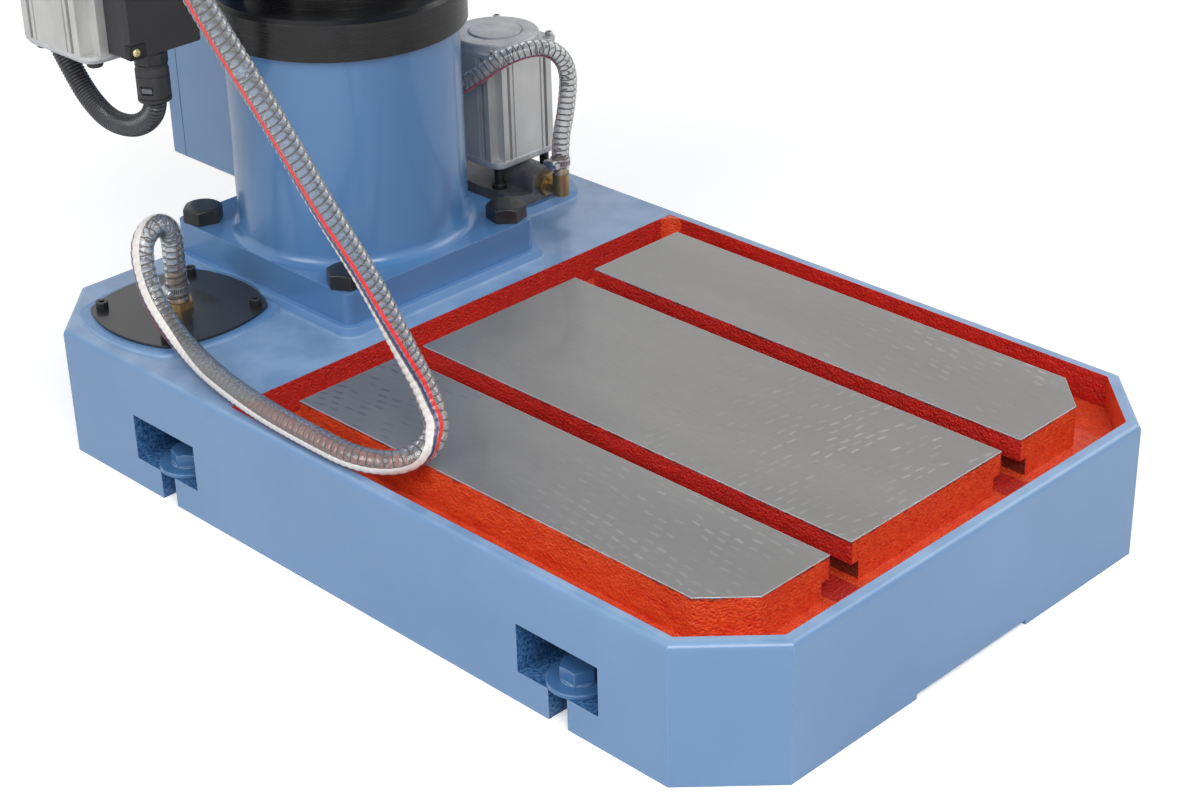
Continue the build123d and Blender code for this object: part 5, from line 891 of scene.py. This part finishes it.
def turned(profile, spot, finish, sides=48, axis="Z"):
    """A turned piece: its profile of radius and height runs from one closed end to the other."""
    radius, level = profile[0]
    piece = begin("circle", vertices=sides, radius=radius, fill_type="NGON", location=(0, 0, level))
    for next_radius, next_level in profile[1:]:
        raise_to((0, 0, next_level), (0, 0, next_level - level), next_radius / radius)
        radius, level = next_radius, next_level
    close(piece, finish)
    piece.rotation_euler = axis_turns[axis]
    piece.location = spot
    bpy.ops.object.transform_apply()
    return piece


def slab(outline, spot, steps, finish):
    """A flat outline about a spot, raised in steps of height and size."""
    x, y, z = spot
    piece = begin("circle", vertices=len(outline), radius=1.0, fill_type="NGON", location=spot)
    mesh = bmesh.from_edit_mesh(piece.data)
    mesh.verts.ensure_lookup_table()
    for vertex, (across, along) in zip(mesh.verts, outline):
        vertex.co = (x + across, y + along, z)
    bmesh.update_edit_mesh(piece.data)
    level = z
    for height, ratio in steps:
        level += height
        raise_to((x, y, level), (0, 0, height), ratio)
    return close(piece, finish)


def bar(middle, size, finish, softness=0.0, segments=2, turn=(0, 0, 0)):
    """A turned box about its middle; a softness rounds its edges."""
    piece = begin("cube", size=1.0, location=middle, scale=size, rotation=turn)
    if softness:
        bpy.ops.mesh.bevel(offset=softness, segments=segments, affect="EDGES")
    return close(piece, finish)


def cut(piece, tool, operation="DIFFERENCE"):
    """Cuts a piece with a tool, which is used up."""
    bpy.ops.object.select_all(action="DESELECT")
    bpy.context.view_layer.objects.active = piece
    bpy.ops.object.modifier_add(type="BOOLEAN")
    modifier = piece.modifiers[-1]
    modifier.operation = operation
    modifier.object = tool
    modifier.solver = "EXACT"
    bpy.ops.object.modifier_apply(modifier=modifier.name)
    bpy.data.objects.remove(tool)
    return piece


def copies(piece, centre, places):
    """Copies of a piece, which is used up: each shifted across and along, and turned about the centre."""
    there, back = Matrix.Translation(centre), Matrix.Translation([-c for c in centre])
    made = []
    for across, along, angle in places:
        other = piece.copy()
        other.data = piece.data.copy()
        bpy.context.scene.collection.objects.link(other)
        about = there @ Matrix.Rotation(angle, 4, "Z") @ back
        other.data.transform(Matrix.Translation((across, along, 0)) @ about)
        made.append(other)
    bpy.data.objects.remove(piece)
    return made


def joined(pieces):
    """The pieces as one object."""
    bpy.ops.object.select_all(action="DESELECT")
    for piece in pieces:
        piece.select_set(True)
    bpy.context.view_layer.objects.active = pieces[0]
    bpy.ops.object.join()
    return pieces[0]


def fitted(pieces, name, body, slot, *replaced):
    """Joins pieces under a name, shades them by angle and sets them on their body."""
    piece = joined(pieces)
    piece.name = name
    piece.data.name = name
    bpy.ops.object.shade_smooth_by_angle(angle=radians(32))
    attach(piece, body)
    if replaced:
        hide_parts(*replaced)


# Hex bolts on the column foot and in the foot pockets
def hex_head(spot, radius, height, finish):
    """A hex head with its corners turned off at the top."""
    x, y, z = spot
    both = {"depth": height, "location": (x, y, z + height / 2)}
    head = begin("cylinder", vertices=6, radius=radius, rotation=(0, 0, pi / 6), **both)
    close(head, finish)
    top_r, slope = radius * 0.85, 1.9
    crown = begin("cone", vertices=72, radius1=top_r + height * slope, radius2=top_r, **both)
    close(crown, finish)
    return cut(head, crown, "INTERSECT")


def bolt(spot, head, shank, finish):
    """A hex bolt standing on a spot, with its shank below."""
    shank_r, length = shank
    stem = turned([(shank_r * 0.9, -length), (shank_r, -length + 0.001), (shank_r, 0.0)], spot, finish, 32)
    return joined([hex_head(spot, *head, finish), stem])


flange_bolt = bolt((-0.104, 0.203, 0.174), (0.0205, 0.015), (0.012, 0.062), oxide)
flange_places = ((0.0, 0.0, 0.0), (0.208, 0.0, 0.3), (0.0, 0.224, 0.7), (0.208, 0.224, 0.1))
flange_bolts = copies(flange_bolt, (-0.104, 0.203, 0.0), flange_places)
fitted(flange_bolts, "turned_foot_bolts", "base", "black_steel", "column_foot_bolts")

washer = [(0.0275, 0.0), (0.0284, 0.0007), (0.0284, 0.0039), (0.0275, 0.0046)]
washer += [(0.0255, 0.0047), (0.017, 0.0047)]
collar = [(0.0164, 0.0047), (0.0166, 0.0052), (0.0166, 0.0057), (0.0160, 0.0060)]
anchor_paint = enamel("anchor_paint", rgb(88, 134, 182), rgb(58, 102, 150), rgb(172, 202, 230), 0.26)
anchor_spot = (-0.274, -0.2755, 0.030)
anchor = bolt((-0.274, -0.2755, 0.0358), (0.017, 0.0122), (0.010, 0.033), anchor_paint)
rings_under = [turned(washer, anchor_spot, anchor_paint, 64), turned(collar, anchor_spot, anchor_paint)]
anchor = joined([anchor, *rings_under])
anchor_turns = [radians(angle) for angle in (30, 13, 20, 47)]
anchor_places = zip((0.0, 0.0, 0.548, 0.548), (0.0, 0.5225, 0.0, 0.5225), anchor_turns)
anchors = copies(anchor, anchor_spot, anchor_places)
fitted(anchors, "washered_anchor_bolts", "base", "blue_paint", "anchor_bolts")


# Worm clamps on the two hoses
def worm_clamp(spot, hose_r):
    """A slotted band with its screw housing on the left."""
    x, y, z = spot
    band_r = hose_r + 0.0008
    sides = 72
    strap = begin("circle", vertices=sides, radius=band_r, fill_type="NOTHING", location=(x, y, z - 0.004))
    for height in (0.0014, 0.0052, 0.0014):
        raise_to((x, y, z), (0, 0, height))

    def slotted(middle):
        turn = atan2(middle.y - y, middle.x - x)
        side = round((turn / (2 * pi) + 1) * sides - 0.5)
        return abs(middle.z - z) < 0.001 and side % 2 == 0 and abs(turn) < 2.7

    pick(strap, slotted)
    bpy.ops.mesh.delete(type="FACE")
    close(strap, zinc)
    bpy.ops.object.modifier_add(type="SOLIDIFY")
    strap.modifiers[-1].thickness = 0.0009
    strap.modifiers[-1].offset = 0.0
    bpy.ops.object.modifier_apply(modifier=strap.modifiers[-1].name)
    left_x = x - band_r
    screw_x = left_x - 0.003
    housing = bar((left_x - 0.0028, y, z), (0.0068, 0.0116, 0.0100), zinc, 0.0013, 3)
    stem_profile = [(0.0026, -0.0095), (0.003, -0.009), (0.003, 0.009), (0.0026, 0.0095)]
    stem = turned(stem_profile, (screw_x, y, z), zinc, 24, "Y")
    head_profile = [(0.0034, 0.0), (0.0038, 0.0006), (0.0038, 0.0036), (0.0031, 0.0042)]
    head = turned(head_profile, (screw_x, y - 0.006, z), zinc, 6, "-Y")
    slot = bar((screw_x, y - 0.0100, z), (0.0096, 0.0024, 0.0008), zinc, 0.0001, 1)
    return [strap, housing, stem, cut(head, slot)]


clamps = worm_clamp((-0.201, 0.344, 0.1585), 0.011) + worm_clamp((0.214, 0.237, 0.191), 0.00925)
fitted(clamps, "slotted_hose_clamps", "base", "zinc_steel", "hose_clamps")


# Motor bodies: square extrusions with stepped corners, ribs and grooves
def motor_outline(width):
    """The outline of a motor extrusion, corner by corner."""
    half, notch, deep, fine = width / 2, width * 0.115, width * 0.045, width * 0.011
    side = []
    for place, wide, depth in (
        (-0.285, 0.042, deep), (-0.215, 0.022, fine), (0.215, 0.022, fine), (0.285, 0.042, deep)
    ):
        start, end = (place - wide / 2) * width, (place + wide / 2) * width
        side += [(half, start), (half - depth, start), (half - depth, end), (half, end)]
    side += [(half, half - notch), (half - notch, half - notch)]
    side = [(half, notch - half)] + side
    points = []
    for quarter in range(4):
        c, s = round(cos(quarter * pi / 2)), round(sin(quarter * pi / 2))
        points += [(c * a - s * b, s * a + c * b) for a, b in side]
    return points


def plate_outline(width, corner, steps=4):
    """A square with rounded corners."""
    points = []
    for quarter in range(4):
        for step in range(steps + 1):
            angle = (quarter + step / steps) * pi / 2
            c, s = cos(quarter * pi / 2 + pi / 4), sin(quarter * pi / 2 + pi / 4)
            reach = (width / 2 - corner) * 2 ** 0.5
            points.append((c * reach + cos(angle) * corner, s * reach + sin(angle) * corner))
    return points


pump_spot = (0.218, 0.333, 0.178)
pump_width = 0.091
pump_shell = slab(motor_outline(pump_width), (*pump_spot[:2], 0.184), [(0.113, 1.0)], extruded)
pump_steps = [(0.0, 1.0), (0.0025, 1.02), (0.0045, 1.0)]
pump_foot = slab(plate_outline(pump_width, 0.013), pump_spot, pump_steps, cast_grey)
fitted([pump_shell, pump_foot], "ribbed_pump_motor", "base", "motor_grey", "pump_motor")

pump_top = (0.218, 0.333, 0.297)
cap_plate = slab(plate_outline(pump_width, 0.007), pump_top, [(0.0035, 1.0), (0.0015, 0.985)], cast_grey)
cap_dome = turned(
    [(0.0455, 0.0), (0.0455, 0.0112), (0.0446, 0.0126), (0.0430, 0.013), (0.0292, 0.013), (0.0284, 0.0118),
     (0.0278, 0.0118), (0.0272, 0.0142), (0.026, 0.0145), (0.004, 0.0145)],
    pump_top, cast_grey, 72
)
cap_screw = [(0.0036, 0.0), (0.0040, 0.0006), (0.0040, 0.0052), (0.0034, 0.0060)]
cap_screw += [(0.0021, 0.0060), (0.0021, 0.0036)]
cap_screws = []
for side, end in ((-1, -1), (1, -1), (1, 1), (-1, 1)):
    seat = (pump_top[0] + side * 0.0395, pump_top[1] + end * 0.0395, pump_top[2] + 0.0045)
    ear = turned([(0.0062, -0.004), (0.0062, 0.0012), (0.0056, 0.0018)], seat, cast_grey, 24)
    cap_screws += [ear, turned(cap_screw, seat, zinc, 24)]
fitted([cap_plate, cap_dome] + cap_screws, "eared_pump_cap", "base", "motor_grey", "pump_cap")

lift_spot = (-0.217, 0.390, 0.412)
lift_width = 0.114
lift_shell = slab(motor_outline(lift_width), lift_spot, [(0.141, 1.0)], extruded)
shield_spot, shield_steps = (*lift_spot[:2], 0.553), [(0.0, 1.0), (0.012, 1.0)]
lift_shield = slab(plate_outline(lift_width, 0.012), shield_spot, shield_steps, cast_grey)
fitted([lift_shell, lift_shield], "ribbed_lift_motor", "bracket", "motor_grey", "lift_motor")
cap_steps = [(-0.0035, 1.0), (-0.004, 0.955), (-0.0025, 0.84)]
lift_cap = slab(plate_outline(lift_width * 0.985, 0.016), lift_spot, cap_steps, cast_grey)
foot_profile = [(0.0066, -0.0138), (0.0076, -0.0125), (0.0076, -0.006)]
lift_feet = []
for side in (-1, 1):
    for end in (-1, 1):
        spot = (lift_spot[0] + side * 0.040, lift_spot[1] + end * 0.040, lift_spot[2])
        lift_feet.append(turned(foot_profile, spot, black_plastic, 24))
fitted([lift_cap] + lift_feet, "cast_lift_motor_cap", "bracket", "motor_grey", "lift_motor_cap")


# Conduit glands, and the screwed lugs of the terminal box
grey_clip = moulded("grey_clip", rgb(96, 98, 104), 0.35)
gland_nut = [(0.0155, -0.0115), (0.016, -0.0105), (0.016, -0.001), (0.0152, 0.0)]
gland_body = [
    (0.0108, -0.048), (0.0148, -0.048), (0.0156, -0.0472), (0.0156, -0.0445), (0.0145, -0.0442),
    (0.0145, -0.0435), (0.0155, -0.0432), (0.0155, -0.0235), (0.0149, -0.0232), (0.0149, -0.0224),
    (0.0155, -0.0221), (0.0155, -0.0175), (0.0142, -0.0150), (0.0142, -0.0138), (0.0150, -0.0134),
    (0.0150, -0.0122), (0.0138, -0.0118), (0.0138, -0.0105),
]
clip_turn = (0, 0, 0.509)


def gland(spot):
    """A snap gland: eight-sided nut with a neck, slitted body with its clip, and a lip."""
    x, y, z = spot
    nut = turned(gland_nut, spot, black_plastic, 8)
    body = turned(gland_body, spot, black_plastic, 56)
    window_spot, window_size = (x - 0.0136, y - 0.0076, z - 0.0350), (0.0060, 0.0120, 0.0086)
    clip_spot, clip_size = (x - 0.0122, y - 0.0068, z - 0.0352), (0.0028, 0.0102, 0.0046)
    cut(body, bar(window_spot, window_size, black_plastic, turn=clip_turn))
    return [nut, body, bar(clip_spot, clip_size, grey_clip, 0.0006, turn=clip_turn)]


glands = gland((-0.2195, 0.3165, 0.412)) + gland((-0.2195, 0.480, 0.565))
fitted(glands, "clip_conduit_glands", "bracket", "black_plastic", "conduit_glands")

lug_black = moulded("lug_black", rgb(15, 15, 17), 0.5)
yellow_zinc = bare_metal("yellow_zinc", rgb(232, 218, 166), rgb(186, 164, 110), 0.3, (1, 1, 1), 0.5)
lug_screw = [(0.0036, 0.0), (0.0038, 0.0006), (0.0034, 0.0016), (0.0022, 0.0024)]


def lug(spot, hand):
    """A lug at the left or right edge of the terminal box's lid, with its cross-slotted screw."""
    x, y, z = spot
    middle = (x - hand * 0.00215, y + 0.00325, z - 0.0001)
    body = bar(middle, (0.0181, 0.0085, 0.0134), lug_black, 0.0012, 3)
    screw = turned(lug_screw, (x, y - 0.0008, z), yellow_zinc, 32, "-Y")
    for angle in (0.6, 0.6 + pi / 2):
        cut(screw, bar((x, y - 0.0034, z), (0.0046, 0.0024, 0.0008), yellow_zinc, turn=(0, angle, 0)))
    return [body, screw]


lugs = lug((-0.2466, 0.2985, 0.4204), -1) + lug((-0.1794, 0.2985, 0.4996), 1)
fitted(lugs, "terminal_box_lugs", "bracket", "black_plastic")


# Small fittings of the head: cover screws, oil sight glass, button rims and panel screws
def socket_screw(spot, radius, height, axis="Z"):
    """A socket-head screw with its hexagon socket."""
    profile = [(radius * 0.97, -0.0004), (radius, 0.0004)]
    profile += [(radius, height - 0.0008), (radius - 0.0008, height)]
    head = turned(profile, spot, oxide, 32, axis)
    socket_r = radius * 0.55
    return cut(head, turned([(socket_r, height * 0.45), (socket_r, height + 0.002)], spot, oxide, 6, axis))


cover_screw = socket_screw((0, 0, 1.864), 0.0065, 0.0065)
cover_spots = [(across, along) for across in (-130, 130) for along in (-118, 10, 140)]
cover_spots += [(-52, -150), (52, -150)]
cover_places = [(across / 1000, along / 1000, across * 0.01) for across, along in cover_spots]
cover_screws = copies(cover_screw, (0, 0, 0), cover_places)
fitted(cover_screws, "head_cover_screws", "base", "black_steel")

amber = moulded("amber_glass", rgb(196, 132, 34), 0.08, 0.00001)
glass_spot = (-0.150, -0.085, 1.492)
glass_rim = turned(
    [(0.019, -0.0004), (0.019, 0.004), (0.0178, 0.0052), (0.0142, 0.0052), (0.0132, 0.0042), (0.0132, 0.002)],
    glass_spot, zinc, 56, "-X"
)
glass_profile = [(0.0128, 0.0022), (0.0128, 0.0030), (0.0100, 0.0036), (0.004, 0.0039)]
glass = turned(glass_profile, glass_spot, amber, 48, "-X")
fitted([glass_rim, glass], "oil_sight_glass", "base", "zinc_steel")


def button_rim(spot, inner_r, outer_r, height, finish):
    """A turned ring on the panel round a button."""
    profile = [(outer_r, -0.0004), (outer_r, height - 0.001)]
    profile += [(outer_r - 0.001, height), (inner_r * 0.9, height)]
    rim = turned(profile, spot, finish, 56, "-Y")
    return cut(rim, turned([(inner_r, -0.004), (inner_r, height + 0.004)], spot, finish, 56, "-Y"))


yellow_plastic = moulded("yellow_plastic", rgb(228, 186, 30), 0.3, 0.00003)
panel_y, panel_z = -0.204, 1.770
rims = [
    button_rim((-0.056, panel_y, panel_z), 0.0137, 0.0180, 0.0042, zinc),
    button_rim((0.0, panel_y, panel_z), 0.0137, 0.0180, 0.0042, zinc),
    button_rim((0.056, panel_y, panel_z), 0.0207, 0.0262, 0.0032, yellow_plastic),
]
for across in (-0.083, 0.083):
    for up in (-0.048, 0.048):
        rims.append(socket_screw((across, panel_y, panel_z + up), 0.0038, 0.003, "-Y"))
fitted(rims, "button_rims", "base", "zinc_steel")

# Stage: white floor that keeps the shadow, white surroundings and soft lamps
floor_size = 30.0
bpy.ops.object.select_all(action="DESELECT")
bpy.ops.mesh.primitive_plane_add(size=floor_size, location=(0, 0, 0))
floor = bpy.context.object
floor.name = "studio_floor"
floor_finish = Finish("studio_floor", rgb(240, 240, 240), 0.9, Emission_Color=(1, 1, 1, 1))
seen = number(floor_finish.tree, "LightPath", "Is Camera Ray")
away = number(floor_finish.tree, "VectorMath", "Value", {0: floor_finish.place()}, operation="LENGTH")
floor_finish.feed(Emission_Strength=seen * away.band(0.9, 4.5, 0.36, 0.95))
floor.data.materials.append(floor_finish.material)

world = bpy.data.worlds.new("studio")
bpy.context.scene.world = world
world.use_nodes = True
sky = world.node_tree
paths = node(sky, "LightPath").outputs
rays = [Number(sky, paths["Is " + kind + " Ray"]) for kind in ("Camera", "Glossy", "Transmission")]
shown = rays[0] | rays[1] | rays[2]
background = sky.nodes["Background"]
background.inputs["Color"].default_value = (1, 1, 1, 1)
fill(sky, background.inputs["Strength"], shown.band(0, 1, 0.44, 0.9) | rays[0])

lamps = {
    "key_lamp": ((-1.6, -2.6, 3.2), 2.4, 104),
    "left_lamp": ((-3.2, 0.6, 2.4), 2.0, 45),
    "right_lamp": ((3.0, -1.2, 2.4), 2.0, 28),
}
lamp_target = Vector((0, 0, 0.3))
for name, (spot, size, power) in lamps.items():
    lamp_data = bpy.data.lights.new(name, "AREA")
    lamp_data.size = size
    lamp_data.energy = power
    aimed(lamp_data, spot, lamp_target - Vector(spot))

bpy.context.view_layer.update()
